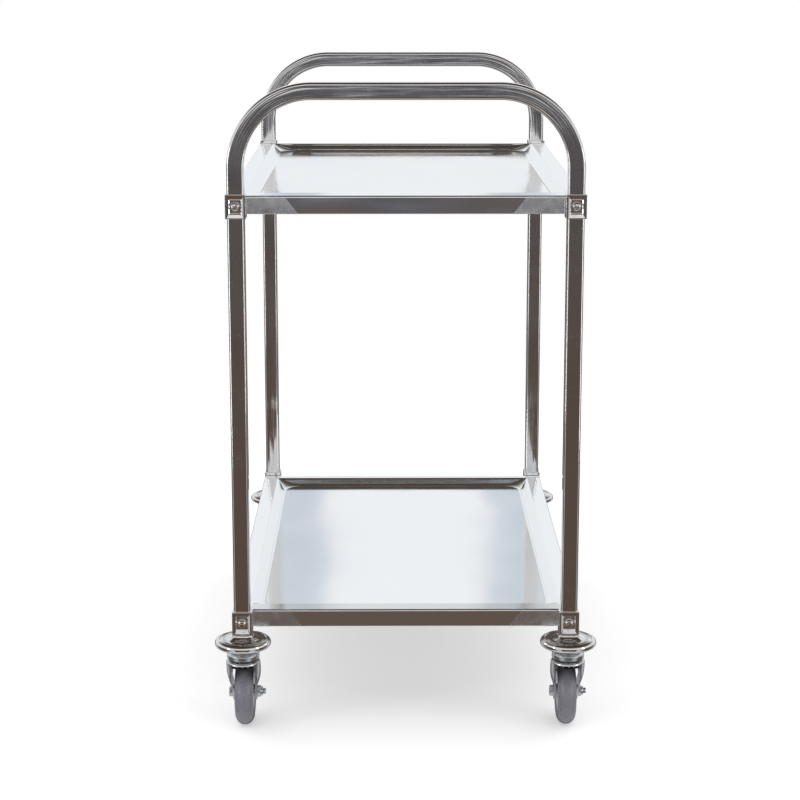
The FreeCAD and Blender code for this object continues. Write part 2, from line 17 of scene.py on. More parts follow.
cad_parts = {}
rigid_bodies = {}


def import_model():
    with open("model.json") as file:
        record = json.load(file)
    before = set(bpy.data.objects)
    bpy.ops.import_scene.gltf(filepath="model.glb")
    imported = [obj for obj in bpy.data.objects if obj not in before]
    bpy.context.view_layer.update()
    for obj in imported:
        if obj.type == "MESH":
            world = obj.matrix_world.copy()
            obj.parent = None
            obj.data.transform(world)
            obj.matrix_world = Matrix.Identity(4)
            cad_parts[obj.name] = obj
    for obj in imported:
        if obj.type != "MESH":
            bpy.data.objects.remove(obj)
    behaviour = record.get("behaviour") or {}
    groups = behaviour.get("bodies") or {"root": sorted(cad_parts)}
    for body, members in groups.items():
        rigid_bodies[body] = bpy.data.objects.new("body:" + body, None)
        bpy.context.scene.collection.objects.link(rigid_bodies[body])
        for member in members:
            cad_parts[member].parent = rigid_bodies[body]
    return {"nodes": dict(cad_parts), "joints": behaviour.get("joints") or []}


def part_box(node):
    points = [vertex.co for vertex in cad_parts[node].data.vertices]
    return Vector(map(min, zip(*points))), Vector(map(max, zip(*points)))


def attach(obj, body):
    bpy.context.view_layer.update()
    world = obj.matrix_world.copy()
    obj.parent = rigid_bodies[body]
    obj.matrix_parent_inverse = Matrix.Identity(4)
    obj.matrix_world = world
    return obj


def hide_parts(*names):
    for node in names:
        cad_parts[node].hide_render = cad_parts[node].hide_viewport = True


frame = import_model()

MM = 0.001
ENDS = {"front": -1, "rear": 1}
SIDES = {"left": -1, "right": 1}
CORNERS = [(end, side) for end in ENDS for side in SIDES]
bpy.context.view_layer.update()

# %% [markdown]
# ## Sizes
# A few boxes give the sizes that the pieces share: the tube's width, where the posts stand,
# how high the trays sit, and where a caster turns and its wheel rolls. A caster is always made
# round its own swivel axis, at the front left, and then carried to its post.

# %% Read the shared sizes
def low_high(node):
    """Lowest and highest corner of a node, as number arrays in metres."""
    low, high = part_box(node)
    return np.array(low), np.array(high)


hoop_low, hoop_high = low_high("front_hoop")
TUBE = hoop_high[1] - hoop_low[1]
POST_X = hoop_high[0] - TUBE / 2
POST_Y = -(hoop_low[1] + hoop_high[1]) / 2
FOOT_Z = hoop_low[2]
BAR_Z = hoop_high[2] - TUBE / 2
fork_low, fork_high = low_high("fork_front_left")
swivels = {j["child"]: j["pos_m"] for j in frame["joints"] if j["parent"] == "frame"}
axles = {j["child"]: j["pos_m"] for j in frame["joints"] if j["parent"] != "frame"}
TRAIL = axles["wheel_front_left"][1] - swivels["fork_front_left"][1]
AXLE_Z = axles["wheel_front_left"][2]
print("tube", round(TUBE, 4), "trail", round(TRAIL, 4), "axle height", AXLE_Z)

# %% [markdown]
# ## The camera
# A long lens, well back and a little above the push bar, looks down the trolley's length.
# A wide lens close by would show the same things, but would bend the trays' long sides apart.

# %% Set up the camera
camera_data = bpy.data.cameras.new("camera")
camera_data.lens = 94.4
camera_data.clip_end = 100
camera = bpy.data.objects.new("camera", camera_data)
camera.location = (-0.0255, -3.739, 1.270)
LOOK_DOWN = 12.25
LOOK_RIGHT = 0.285
camera.rotation_euler = (math.radians(90 - LOOK_DOWN), 0, math.radians(-LOOK_RIGHT))
bpy.context.scene.collection.objects.link(camera)
bpy.context.scene.camera = camera

# %% [markdown]
# ## Helpers for materials
# Colours are written as the hex values that a paint chart gives, and one function turns them
# into the linear light that Blender mixes. One more function adds a node with its settings
# and links, so that every finish below reads as a list of what it is made of.

# %% Add colours and nodes
def linear(hex_colour):
    """Linear RGBA of an sRGB hex colour such as #c8c4be."""
    parts = [int(hex_colour[i:i + 2], 16) / 255 for i in (1, 3, 5)]
    light = [p / 12.92 if p <= 0.04045 else ((p + 0.055) / 1.055) ** 2.4 for p in parts]
    return (*light, 1.0)


def add_node(tree, kind, inputs=None, stops=(), **settings):
    """Adds a node. An input is a value, an output, or a node whose first output is linked."""
    node = tree.nodes.new(kind)
    for name, value in settings.items():
        setattr(node, name, value)
    for name, value in (inputs or {}).items():
        if isinstance(value, bpy.types.Node):
            value = value.outputs[0]
        if isinstance(value, bpy.types.NodeSocket):
            tree.links.new(value, node.inputs[name])
        else:
            node.inputs[name].default_value = value
    for i, (position, hex_colour) in enumerate(stops):
        points = node.color_ramp.elements
        point = points[i] if i < len(points) else points.new(position)
        point.position = position
        point.color = linear(hex_colour)
    return node


def start_finish(name, **shader_inputs):
    """A material with one Principled shader, and the piece's own coordinates."""
    material = bpy.data.materials.new(name)
    material.use_nodes = True
    tree = material.node_tree
    tree.nodes.clear()
    shader = add_node(tree, "ShaderNodeBsdfPrincipled", shader_inputs)
    add_node(tree, "ShaderNodeOutputMaterial", {"Surface": shader})
    place = add_node(tree, "ShaderNodeTexCoord").outputs["Object"]
    return material, tree, shader, place


def grain(tree, place, size_mm, detail=2.0, distortion=0.0, low=0.0, high=1.0, edges=(0.3, 0.7)):
    """A pattern whose grains measure size_mm along X, Y and Z, from low to high."""
    scale = [1 / (s * MM) for s in size_mm]
    sized = add_node(tree, "ShaderNodeMapping", {"Vector": place, "Scale": scale})
    noise = add_node(
        tree, "ShaderNodeTexNoise",
        {"Vector": sized, "Scale": 1.0, "Detail": detail, "Distortion": distortion}
    )
    ends = {"From Min": edges[0], "From Max": edges[1], "To Min": low, "To Max": high}
    return add_node(tree, "ShaderNodeMapRange", {"Value": noise} | ends)


def relief(tree, shader, layers):
    """Bumps the shader with (height, depth in mm) layers, the broadest first."""
    below = None
    for height, depth_mm in layers:
        bump = add_node(tree, "ShaderNodeBump", {"Height": height, "Distance": depth_mm * MM})
        if below:
            tree.links.new(below.outputs["Normal"], bump.inputs["Normal"])
        below = bump
    tree.links.new(below.outputs["Normal"], shader.inputs["Normal"])


# %% [markdown]
# ## Polished stainless tube
# The hoops are welded stainless tube, polished on a belt and then buffed. Up close a buffed
# tube is a mirror with hair lines along its length, a few short scratches where it has been
# handled, and faint smears. The lines follow the tube round its bends, so they read a
# coordinate that runs along the tube and is stored on its mesh. The bender also leaves its
# mark: the walls of both bends ripple slightly, which breaks their reflections into streaks.

# %% Make the tube's steel
HOOP_BEND = 120.0 * MM


def make_tube_steel():
    # Mirror polish over belt lines: reflections stay sharp, but fray along the tube.
    material, tree, shader, place = start_finish(
        "buffed_stainless_tube", **{"Metallic": 1.0, "Base Color": linear("#d9d6d3")}
    )
    run = add_node(tree, "ShaderNodeAttribute", attribute_name="run").outputs["Vector"]
    smears = grain(tree, place, (70.0, 70.0, 90.0), 4.0, 0.6, 0.05, 0.13)
    worn = grain(tree, place, (34.0, 34.0, 40.0), 3.0, edges=(0.5, 0.62))
    scratches = grain(tree, run, (9.0, 0.7, 1.0), 4.0, 1.2, edges=(0.62, 0.70))
    scored = add_node(tree, "ShaderNodeMath", {0: scratches, 1: worn}, operation="MULTIPLY")
    rough = add_node(
        tree, "ShaderNodeMath", {0: scored, 1: 0.35, 2: smears}, operation="MULTIPLY_ADD"
    )
    tree.links.new(rough.outputs[0], shader.inputs["Roughness"])
    axes = add_node(tree, "ShaderNodeSeparateXYZ", {"Vector": place})
    off_middle = add_node(tree, "ShaderNodeMath", {0: axes.outputs["X"]}, operation="ABSOLUTE")
    bend_start = {"From Min": POST_X - HOOP_BEND - 0.02, "From Max": POST_X - HOOP_BEND + 0.05}
    past_bar = add_node(tree, "ShaderNodeMapRange", {"Value": off_middle} | bend_start)
    bend_end = {"From Min": BAR_Z - HOOP_BEND - 0.03, "From Max": BAR_Z - HOOP_BEND + 0.04}
    over_post = add_node(
        tree, "ShaderNodeMapRange", {"Value": axes.outputs["Z"]} | bend_end
    )
    bends = add_node(tree, "ShaderNodeMath", {0: past_bar, 1: over_post}, operation="MULTIPLY")
    ripple = grain(tree, run, (60.0, 12.0, 1.0), 0.0)
    bend_ripple = add_node(tree, "ShaderNodeMath", {0: ripple, 1: bends}, operation="MULTIPLY")
    waves = grain(tree, run, (90.0, 30.0, 1.0), 1.0)
    belt_lines = grain(tree, run, (80.0, 1.4, 1.0), 1.0)
    relief(tree, shader, [
        (waves, 0.05), (bend_ripple, 0.07), (belt_lines, 0.0006), (scored, -0.006)
    ])
    return material


tube_steel = make_tube_steel()
print("material", tube_steel.name)

# %% [markdown]
# ## Stainless sheet
# The trays are pressed from bright rolled sheet. Rolling leaves it a soft mirror, and pressing
# leaves the flat panel very slightly wavy, so reflections in a tray swim. The apron's corners
# are folded, welded and ground flush, and that patch is never polished as far as the rest: it
# shows as a paler, cloudy end with a slanted edge. The pattern reads a place that is stored on
# the mesh, whose Z is the depth below the tray's crease, so that both trays match.

# %% Make the sheet's steel
def make_sheet_steel():
    # Bright rolled sheet: pale, clean, softly mirror-like, cloudy where a corner was ground.
    material, tree, shader, place = start_finish(
        "pressed_stainless_sheet", **{"Metallic": 1.0, "Base Color": linear("#eef1f4")}
    )
    pressed = add_node(tree, "ShaderNodeAttribute", attribute_name="pressed").outputs["Vector"]
    axes = add_node(tree, "ShaderNodeSeparateXYZ", {"Vector": pressed})
    sideways = add_node(tree, "ShaderNodeMath", {0: axes.outputs["X"]}, operation="ABSOLUTE")
    slanted = add_node(
        tree, "ShaderNodeMath", {0: axes.outputs["Z"], 1: -0.78, 2: sideways},
        operation="MULTIPLY_ADD"
    )
    ground_x = {"From Min": 0.1925, "From Max": 0.1945}
    at_end = add_node(tree, "ShaderNodeMapRange", {"Value": slanted} | ground_x)
    lengthways = add_node(tree, "ShaderNodeMath", {0: axes.outputs["Y"]}, operation="ABSOLUTE")
    apron_y = {"From Min": 0.4430, "From Max": 0.4438}
    on_front = add_node(tree, "ShaderNodeMapRange", {"Value": lengthways} | apron_y)
    below = {"From Min": -2.6 * MM, "From Max": -3.4 * MM}
    on_apron = add_node(tree, "ShaderNodeMapRange", {"Value": axes.outputs["Z"]} | below)
    apron = add_node(tree, "ShaderNodeMath", {0: on_front, 1: on_apron}, operation="MULTIPLY")
    ground = add_node(tree, "ShaderNodeMath", {0: at_end, 1: apron}, operation="MULTIPLY")
    cloud = grain(tree, pressed, (9.0, 9.0, 14.0), 3.0, 0.0, 0.1, 0.2)
    clean = grain(tree, pressed, (120.0, 190.0, 120.0), 3.0, 0.0, 0.07, 0.13)
    dulled = add_node(tree, "ShaderNodeMath", {0: ground, 1: cloud}, operation="MULTIPLY")
    rough = add_node(tree, "ShaderNodeMath", {0: dulled, 1: clean}, operation="ADD")
    tree.links.new(rough.outputs[0], shader.inputs["Roughness"])
    waves = grain(tree, pressed, (230.0, 330.0, 60.0), 1.0)
    rolled = grain(tree, pressed, (0.9, 40.0, 0.9), 2.0)
    relief(tree, shader, [(waves, 0.8), (rolled, 0.0008)])
    return material


sheet_steel = make_sheet_steel()
print("material", sheet_steel.name)

# %% [markdown]
# ## Plated metals
# Brackets and foot bumpers are die castings under bright chrome. The casters are pressed steel
# under zinc, which is bluer, greyer and cloudier. Both are one recipe: a mirror, the unevenness
# of the metal under it, and a roughness that drifts. Only the sizes and depths differ.

# %% Make the plated metals
def make_plating(name, colour, smooth, dull, ripple_mm, ripple_depth_mm):
    """Plated metal: roughness drifts from smooth to dull over a rippled base."""
    material, tree, shader, place = start_finish(
        name, **{"Metallic": 1.0, "Base Color": linear(colour)}
    )
    drift = grain(tree, place, (12.0, 12.0, 12.0), 4.0, 0.4, smooth, dull)
    tree.links.new(drift.outputs[0], shader.inputs["Roughness"])
    ripple = grain(tree, place, (ripple_mm,) * 3, 1.0)
    relief(tree, shader, [(ripple, ripple_depth_mm)])
    return material


# Chrome over a casting: the sharpest mirror here, with a soft casting ripple.
chrome = make_plating("chromed_die_casting", "#e2e0de", 0.03, 0.08, 11.0, 0.06)
# Zinc over pressed steel: cooler, greyer and cloudier than chrome.
zinc = make_plating("bright_zinc_plate", "#cfd2d6", 0.2, 0.34, 6.0, 0.03)
# Nickel-plated screws: small, bright, slightly tumbled.
nickel = make_plating("nickel_plated_screw", "#e4e0da", 0.05, 0.12, 2.0, 0.01)
# Ground balls: as smooth as steel gets.
ball_steel = make_plating("ground_bearing_steel", "#d0d0d2", 0.04, 0.08, 3.0, 0.002)
# The races are coloured a very dark steel, and their finish is duller.
race_steel = make_plating("very_dark_race_steel", "#3c3a3a", 0.25, 0.45, 4.0, 0.02)
print("plated metals", chrome.name, zinc.name, nickel.name, ball_steel.name, race_steel.name)

# %% [markdown]
# ## Rubber and plastic
# The tyres are grey thermoplastic rubber, moulded in two halves: satin, a little mottled, with
# scuffs on the tread. The wheel cores are moulded polypropylene, smoother and much lighter.

# %% Make the rubber and the plastic
def make_moulding(name, colours, grains_mm, roughness, peel_mm, peel_depth_mm):
    """Moulded polymer: a mottled colour, a drifting gloss and the mould's fine texture."""
    material, tree, shader, place = start_finish(name)
    mottle = grain(tree, place, (grains_mm,) * 3, 5.0)
    stops = [(k / (len(colours) - 1), colour) for k, colour in enumerate(colours)]
    shade = add_node(tree, "ShaderNodeValToRGB", {"Fac": mottle}, stops)
    tree.links.new(shade.outputs[0], shader.inputs["Base Color"])
    gloss = grain(tree, place, (grains_mm * 0.5,) * 3, 6.0, 0.0, *roughness)
    tree.links.new(gloss.outputs[0], shader.inputs["Roughness"])
    peel = grain(tree, place, (peel_mm,) * 3, 1.0)
    relief(tree, shader, [(peel, peel_depth_mm)])
    return material


# Grey rubber: broad soft highlights and a fine mottle, duller where it has rolled.
rubber = make_moulding(
    "moulded_grey_rubber", ("#65646b", "#6d6b74", "#76747c"), 2.5, (0.22, 0.34), 0.8, 0.015
)
# Polypropylene: even and pale, with the faint orange peel of a steel mould.
core_plastic = make_moulding(
    "moulded_polypropylene", ("#b2b2b2", "#c8c8c7"), 18.0, (0.3, 0.4), 0.9, 0.01
)
print("rubber and plastic", rubber.name, core_plastic.name)

# %% [markdown]
# ## Helpers for shapes
# Most pieces are sheet or turned metal, and both can be drawn as a section: a line of corners,
# each with its own bend radius. `bent_path` rounds those corners. It also leaves a point just
# before and after each bend, which keeps the shading of the flats truly flat. A row of rings
# is then skinned into a closed mesh. Sculpting could give the shapes, but not the true radii.

# %% Draw sections and skin rings
HOLD = 0.25 * MM


def in_mm(*rows):
    """Rows of sizes in millimetres, as rows in metres."""
    return [tuple(size * MM for size in row) for row in rows]


def bent_path(corners, steps=6):
    """Line through (a, b, bend radius) corners, with each bend as an arc between two holds."""
    points = []
    for i, (a, b, radius) in enumerate(corners):
        here = np.array([a, b])
        if radius == 0:
            points.append(here)
            continue
        back = np.array(corners[i - 1][:2]) - here
        ahead = np.array(corners[(i + 1) % len(corners)][:2]) - here
        back /= np.linalg.norm(back)
        ahead /= np.linalg.norm(ahead)
        half = math.acos(np.clip(back @ ahead, -1, 1)) / 2
        cut = radius / math.tan(half)
        middle = (back + ahead) / np.linalg.norm(back + ahead)
        centre = here + middle * radius / math.sin(half)
        first = here + back * cut - centre
        last = here + ahead * cut - centre
        start = math.atan2(first[1], first[0])
        turn = math.atan2(last[1], last[0]) - start
        turn = (turn + math.pi) % (2 * math.pi) - math.pi
        points.append(here + back * (cut + HOLD))
        for k in range(steps + 1):
            angle = start + turn * k / steps
            points.append(centre + radius * np.array([math.cos(angle), math.sin(angle)]))
        points.append(here + ahead * (cut + HOLD))
    return np.array(points)


# %% Skin rings into a mesh
def skin(rings, looped=False):
    """Vertices and faces over equal rings of points; ends are capped unless looped."""
    count = len(rings[0])
    total = len(rings)
    faces = []
    for i in range(total if looped else total - 1):
        here = i * count
        there = (i + 1) % total * count
        for k in range(count):
            n = (k + 1) % count
            faces.append((here + k, here + n, there + n, there + k))
    if not looped:
        faces.append(tuple(range(count)))
        faces.append(tuple(range((total - 1) * count, total * count)))
    return np.concatenate(rings), faces


def reworked(mesh, work):
    """Opens a mesh, runs one piece of work on it, and closes it again."""
    edit = bmesh.new()
    edit.from_mesh(mesh)
    work(edit)
    edit.to_mesh(mesh)
    edit.free()
    return mesh


def close_up(edit):
    """Merges points that share a place and turns all faces outwards."""
    bmesh.ops.remove_doubles(edit, verts=edit.verts, dist=1e-7)
    bmesh.ops.recalc_face_normals(edit, faces=edit.faces)


def to_mesh(name, vertices, faces, material):
    """A smooth mesh with outward faces and one material."""
    mesh = bpy.data.meshes.new(name)
    mesh.from_pydata([tuple(v) for v in vertices], [], faces)
    reworked(mesh, close_up)
    mesh.shade_smooth()
    mesh.materials.append(material)
    return mesh


# %% Turn a section, or ease a row of stations
def lathe(profile, segments=72, looped=False):
    """Turns a section of (radius, height) points about Z."""
    angles = np.arange(segments) * 2 * math.pi / segments
    rings = []
    for radius, height in profile:
        ring = [radius * np.cos(angles), radius * np.sin(angles), np.full(segments, height)]
        rings.append(np.column_stack(ring))
    return skin(rings, looped)


def eased(stations, reach, steps=4):
    """Stations with every inner one rounded off within a reach, and held just outside it."""
    stations = [np.array(station, float) for station in stations]
    line = [stations[0]]
    for before, here, after in zip(stations, stations[1:], stations[2:]):
        back = (before - here) / np.linalg.norm(before - here)
        ahead = (after - here) / np.linalg.norm(after - here)
        line.append(here + back * (reach + HOLD))
        for t in np.linspace(0, 1, steps + 1):
            line.append(here + back * reach * (1 - t) ** 2 + ahead * reach * t ** 2)
        line.append(here + ahead * (reach + HOLD))
    return line + [stations[-1]]


def rounded_outline(half_x, half_y, radius, height, shift_y=0.0, arc_steps=14):
    """Ring of points round a rounded rectangle."""
    ring = []
    for quarter, (sx, sy) in enumerate(((1, 1), (-1, 1), (-1, -1), (1, -1))):
        for k in range(arc_steps + 1):
            angle = math.pi / 2 * (quarter + k / arc_steps)
            x = sx * (half_x - radius) + radius * math.cos(angle)
            y = sy * (half_y - radius) + radius * math.sin(angle)
            ring.append((x, y + shift_y, height))
    return np.array(ring)


# %% Place pieces on their bodies
def from_post(node):
    """Lowest and highest corner of a front left node, seen from its post's axis."""
    low, high = low_high(node)
    shift = np.array([-POST_X, -POST_Y, 0])
    return low - shift, high - shift


def add_piece(name, mesh, body, nodes):
    """Puts a finished mesh in the scene, on its body, standing for its nodes."""
    piece = bpy.data.objects.new(name, mesh)
    bpy.context.scene.collection.objects.link(piece)
    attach(piece, body)
    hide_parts(*nodes)
    return piece


def at_post(end, side):
    """Carries a caster from its swivel axis to its post, with its wheel towards the middle."""
    move = Matrix.Translation((SIDES[side] * POST_X, ENDS[end] * POST_Y, 0))
    turn = Matrix.Rotation(math.pi if ENDS[end] > 0 else 0, 4, "Z")
    return move @ turn


def add_at_posts(node, mesh, body):
    """One copy of a foot or caster piece at each post, each with its place in its mesh."""
    for end, side in CORNERS:
        corner = "_" + end + "_" + side
        copy = mesh.copy()
        copy.transform(at_post(end, side))
        rides_on = body if body == "frame" else body + corner
        add_piece(node + corner + "_skin", copy, rides_on, [node + corner])


def rounding(width_mm, degrees, segments=2):
    """A fine bevel on every edge sharper than an angle, because rounded edges catch light."""
    return "BEVEL", {
        "width": width_mm * MM, "segments": segments, "limit_method": "ANGLE",
        "angle_limit": math.radians(degrees), "harden_normals": True,
    }


def finished(piece_mesh, *modifiers):
    """A mesh with modifiers applied; each is (kind, settings)."""
    scratch = bpy.data.objects.new("scratch", piece_mesh)
    bpy.context.scene.collection.objects.link(scratch)
    for kind, settings in modifiers:
        modifier = scratch.modifiers.new(kind, kind)
        for name, value in settings.items():
            setattr(modifier, name, value)
    solid = scratch.evaluated_get(bpy.context.evaluated_depsgraph_get())
    result = bpy.data.meshes.new_from_object(solid)
    bpy.data.objects.remove(scratch)
    return result


# %% [markdown]
# ## Geometry Nodes helper
# Some pieces repeat or follow a path, and a node tree does that with named sizes that can be
# changed later. The tree is run once and its result kept as a plain mesh.

# %% Run a node tree
def new_tree(name, inputs):
    """A geometry tree with named inputs; returns it with its group input node."""
    tree = bpy.data.node_groups.new(name, "GeometryNodeTree")
    tree.interface.new_socket("Geometry", in_out="INPUT", socket_type="NodeSocketGeometry")
    for label, kind in inputs.items():
        tree.interface.new_socket(label, in_out="INPUT", socket_type="NodeSocket" + kind)
    tree.interface.new_socket("Geometry", in_out="OUTPUT", socket_type="NodeSocketGeometry")
    return tree, add_node(tree, "NodeGroupInput").outputs


def end_tree(tree, geometry, material):
    """Realizes instances, sets the material and closes the tree."""
    real = add_node(tree, "GeometryNodeRealizeInstances", {"Geometry": geometry})
    finish = add_node(
        tree, "GeometryNodeSetMaterial",
        {"Geometry": real.outputs["Geometry"], "Material": material}
    )
    add_node(tree, "NodeGroupOutput", {"Geometry": finish.outputs["Geometry"]})


def run_tree(tree, base, values):
    """The plain mesh that a tree makes from a base object and its input values."""
    modifier = base.modifiers.new(tree.name, "NODES")
    modifier.node_group = tree
    for item in tree.interface.items_tree:
        if item.in_out == "INPUT" and item.name in values:
            modifier[item.identifier] = values[item.name]
    solid = base.evaluated_get(bpy.context.evaluated_depsgraph_get())
    mesh = bpy.data.meshes.new_from_object(solid)
    bpy.data.objects.remove(base)
    return mesh


def curve_object(name, points, closed=False):
    """A plain line of points as a curve object, for a tree to follow."""
    curve = bpy.data.curves.new(name, "CURVE")
    curve.dimensions = "3D"
    spline = curve.splines.new("POLY")
    spline.points.add(len(points) - 1)
    for knot, point in zip(spline.points, points):
        knot.co = (*point, 1.0)
    spline.use_cyclic_u = closed
    base = bpy.data.objects.new(name, curve)
    bpy.context.scene.collection.objects.link(base)
    return base


# %% [markdown]
# ## The hoops
# Each hoop is one length of square tube, bent twice on a rotary bender, so it is post, push
# bar and post without a joint. A tree sweeps the rounded square section along the bent line
# and writes how far along and how far round each point is, for the steel's belt lines.
# Extruding by hand would do for one hoop, but the sweep keeps both the same.

# %% Sweep the hoops
TUBE_CORNER = 4.0 * MM


def make_hoop_tree():
    tree, given = new_tree("sweep_square_tube", {"Section": "Object"})
    section = add_node(tree, "GeometryNodeObjectInfo", {"Object": given["Section"]})
    length = add_node(tree, "GeometryNodeSplineParameter").outputs["Length"]
    lines = {"along": given["Geometry"], "around": section.outputs["Geometry"]}
    measured = {}
    for name, line in lines.items():
        kept = add_node(
            tree, "GeometryNodeStoreNamedAttribute",
            {"Geometry": line, "Name": name, "Value": length}, data_type="FLOAT", domain="POINT"
        )
        lines[name] = kept.outputs["Geometry"]
        measured[name] = add_node(
            tree, "GeometryNodeInputNamedAttribute", {"Name": name}, data_type="FLOAT"
        ).outputs["Attribute"]
    swept = add_node(
        tree, "GeometryNodeCurveToMesh",
        {"Curve": lines["along"], "Profile Curve": lines["around"], "Fill Caps": True}
    )
    run = add_node(
        tree, "ShaderNodeCombineXYZ", {"X": measured["along"], "Y": measured["around"]}
    )
    marked = add_node(
        tree, "GeometryNodeStoreNamedAttribute",
        {"Geometry": swept.outputs["Mesh"], "Name": "run", "Value": run.outputs["Vector"]},
        data_type="FLOAT_VECTOR", domain="POINT"
    )
    smooth = add_node(
        tree, "GeometryNodeSetShadeSmooth", {"Geometry": marked.outputs["Geometry"]}
    )
    end_tree(tree, smooth.outputs["Geometry"], tube_steel)
    return tree


# %% Add both hoops
def add_hoops():
    half = TUBE / 2
    square = [(half, -half), (half, half), (-half, half), (-half, -half)]
    section_line = bent_path([(a, b, TUBE_CORNER) for a, b in square], steps=8)
    hoop_line = bent_path([
        (-POST_X, FOOT_Z, 0), (-POST_X, BAR_Z, HOOP_BEND),
        (POST_X, BAR_Z, HOOP_BEND), (POST_X, FOOT_Z, 0),
    ], steps=40)
    tree = make_hoop_tree()
    for end, sign in ENDS.items():
        section = curve_object("section", [(a, b, 0) for a, b in section_line], closed=True)
        path = curve_object(end + "_path", [(a, sign * POST_Y, b) for a, b in hoop_line])
        mesh = run_tree(tree, path, {"Section": section})
        bpy.data.objects.remove(section)
        reworked(mesh, close_up)
        add_piece(end + "_hoop_tube", mesh, "frame", [end + "_hoop"])
        print(end, "hoop faces", len(mesh.polygons))


add_hoops()

# %% [markdown]
# ## The trays
# A tray is pressed from one sheet: an apron turned down and hemmed inwards, a flat rim that
# rises slightly to a crisp crease, a stepped wall, and the sunk panel. One section gives all
# of it. The corner radius grows from crease to panel, which makes the pressed fans that
# catch the light in each corner. The underside is the same section, one sheet lower.

# %% Press the trays
SHEET = 1.0 * MM
APRON = 31.0 * MM
HEM = 9.0 * MM
RIM_STRIP = 27.0 * MM
RIM_FALL = 2.0 * MM
STEP_STRIP = 20.0 * MM
STEP_DROP = 12.5 * MM
STEP_SLOPE = 0.45
RIM_CORNER = 6.0 * MM
CREASE_CORNER = 7.0 * MM
PANEL_CORNER = 35.0 * MM
STEP_POINTS = 22


def ease(u):
    return u * u * (3 - 2 * u)


def step_height(u):
    """Height of the stepped wall, from the crease at u = 0 to the panel at u = 1."""
    return -(STEP_DROP * ease(u) + STEP_SLOPE * STEP_STRIP * u * (1 - u) ** 2)


def sheet_section():
    """Upper face of the sheet, from hem to panel, as (inset, height) points."""
    first = 1.5 / STEP_POINTS
    corners = [
        (HEM, -APRON, 0), (0, -APRON, 1.6 * MM), (0, -RIM_FALL, 3.0 * MM),
        (RIM_STRIP, 0, 0.5 * MM), (RIM_STRIP + STEP_STRIP * first, step_height(first), 0),
    ]
    outer = list(bent_path(corners, steps=7))
    for k in range(3, STEP_POINTS + 1):
        u = k / STEP_POINTS
        outer.append(np.array([RIM_STRIP + STEP_STRIP * u, step_height(u)]))
    outer.append(outer[-1] + np.array([2 * MM, 0]))
    return np.array(outer)


def offset_line(line, distance):
    """The line moved sideways by a distance, on the side that lies under the sheet."""
    heading = np.gradient(line, axis=0)
    heading /= np.linalg.norm(heading, axis=1)[:, None]
    return line + distance * np.column_stack([heading[:, 1], -heading[:, 0]])


# %% Shape the corners and add the trays
def corner_radius(inset):
    """Radius of the tray's outline at an inset from the apron."""
    if inset <= RIM_STRIP:
        return RIM_CORNER + (CREASE_CORNER - RIM_CORNER) * inset / RIM_STRIP
    u = min((inset - RIM_STRIP) / STEP_STRIP, 1)
    return CREASE_CORNER + (PANEL_CORNER - CREASE_CORNER) * ease(u)


def store_pressed(mesh, crease_z):
    """Stores each point's place, with Z as its height over the crease."""
    pressed = mesh.attributes.new("pressed", "FLOAT_VECTOR", "POINT")
    for point, place in zip(mesh.vertices, pressed.data):
        place.vector = point.co - Vector((0, 0, crease_z))


def add_tray(tier):
    low, high = low_high(tier + "_tray")
    top = offset_line(sheet_section(), 0)
    under = offset_line(top, SHEET)
    rings = []
    for inset, height in np.concatenate([top[::-1], under]):
        outline = rounded_outline(
            high[0] - inset, high[1] - inset, corner_radius(inset), high[2] + height
        )
        rings.append(outline)
    mesh = to_mesh(tier + "_tray_sheet", *skin(rings), sheet_steel)
    store_pressed(mesh, high[2])
    add_piece(tier + "_tray_sheet", mesh, "frame", [tier + "_tray"])
    print(tier, "tray faces", len(mesh.polygons), "height", round(high[2] - low[2], 4))


for tier in ("upper", "lower"):
    add_tray(tier)

# %% [markdown]
# ## Corner brackets
# Each bracket is a die-cast sleeve round the post. Its front is a picture frame: a rounded
# edge, a narrow lip, a gentle slope, then a steeper step down to a square seat with a raised
# ring for the screw. Every slope mirrors another part of the room, which is why a bracket
# glitters, so the slopes are skinned one by one with small true radii between them.

# %% Cast the brackets
CASTING_EDGE = 1.1 * MM
DISH_EDGE = 0.35 * MM
POST_FIT = 0.05 * MM
# The front's frame, slope, step and seat: half width, half height, corner radius, height in mm.
DISH = [(13, 17.5, 0.9, 0), (10.25, 12.5, 1.1, -0.8), (8.75, 10.0, 1.3, -1.9), (3, 3, 1.0, -1.9)]


def joined(parts):
    """One mesh from several (vertices, faces) shells."""
    points = []
    faces = []
    for shell_points, shell_faces in parts:
        first = sum(len(p) for p in points)
        points.append(np.array(shell_points))
        faces += [tuple(first + k for k in face) for face in shell_faces]
    return np.concatenate(points), faces


def upright(shell, front_y, middle_z):
    """Stands a shell up: its height then points out of the front, along -Y."""
    points, faces = shell
    stood = [(x, front_y - z, middle_z + y) for x, y, z in points]
    return stood, faces


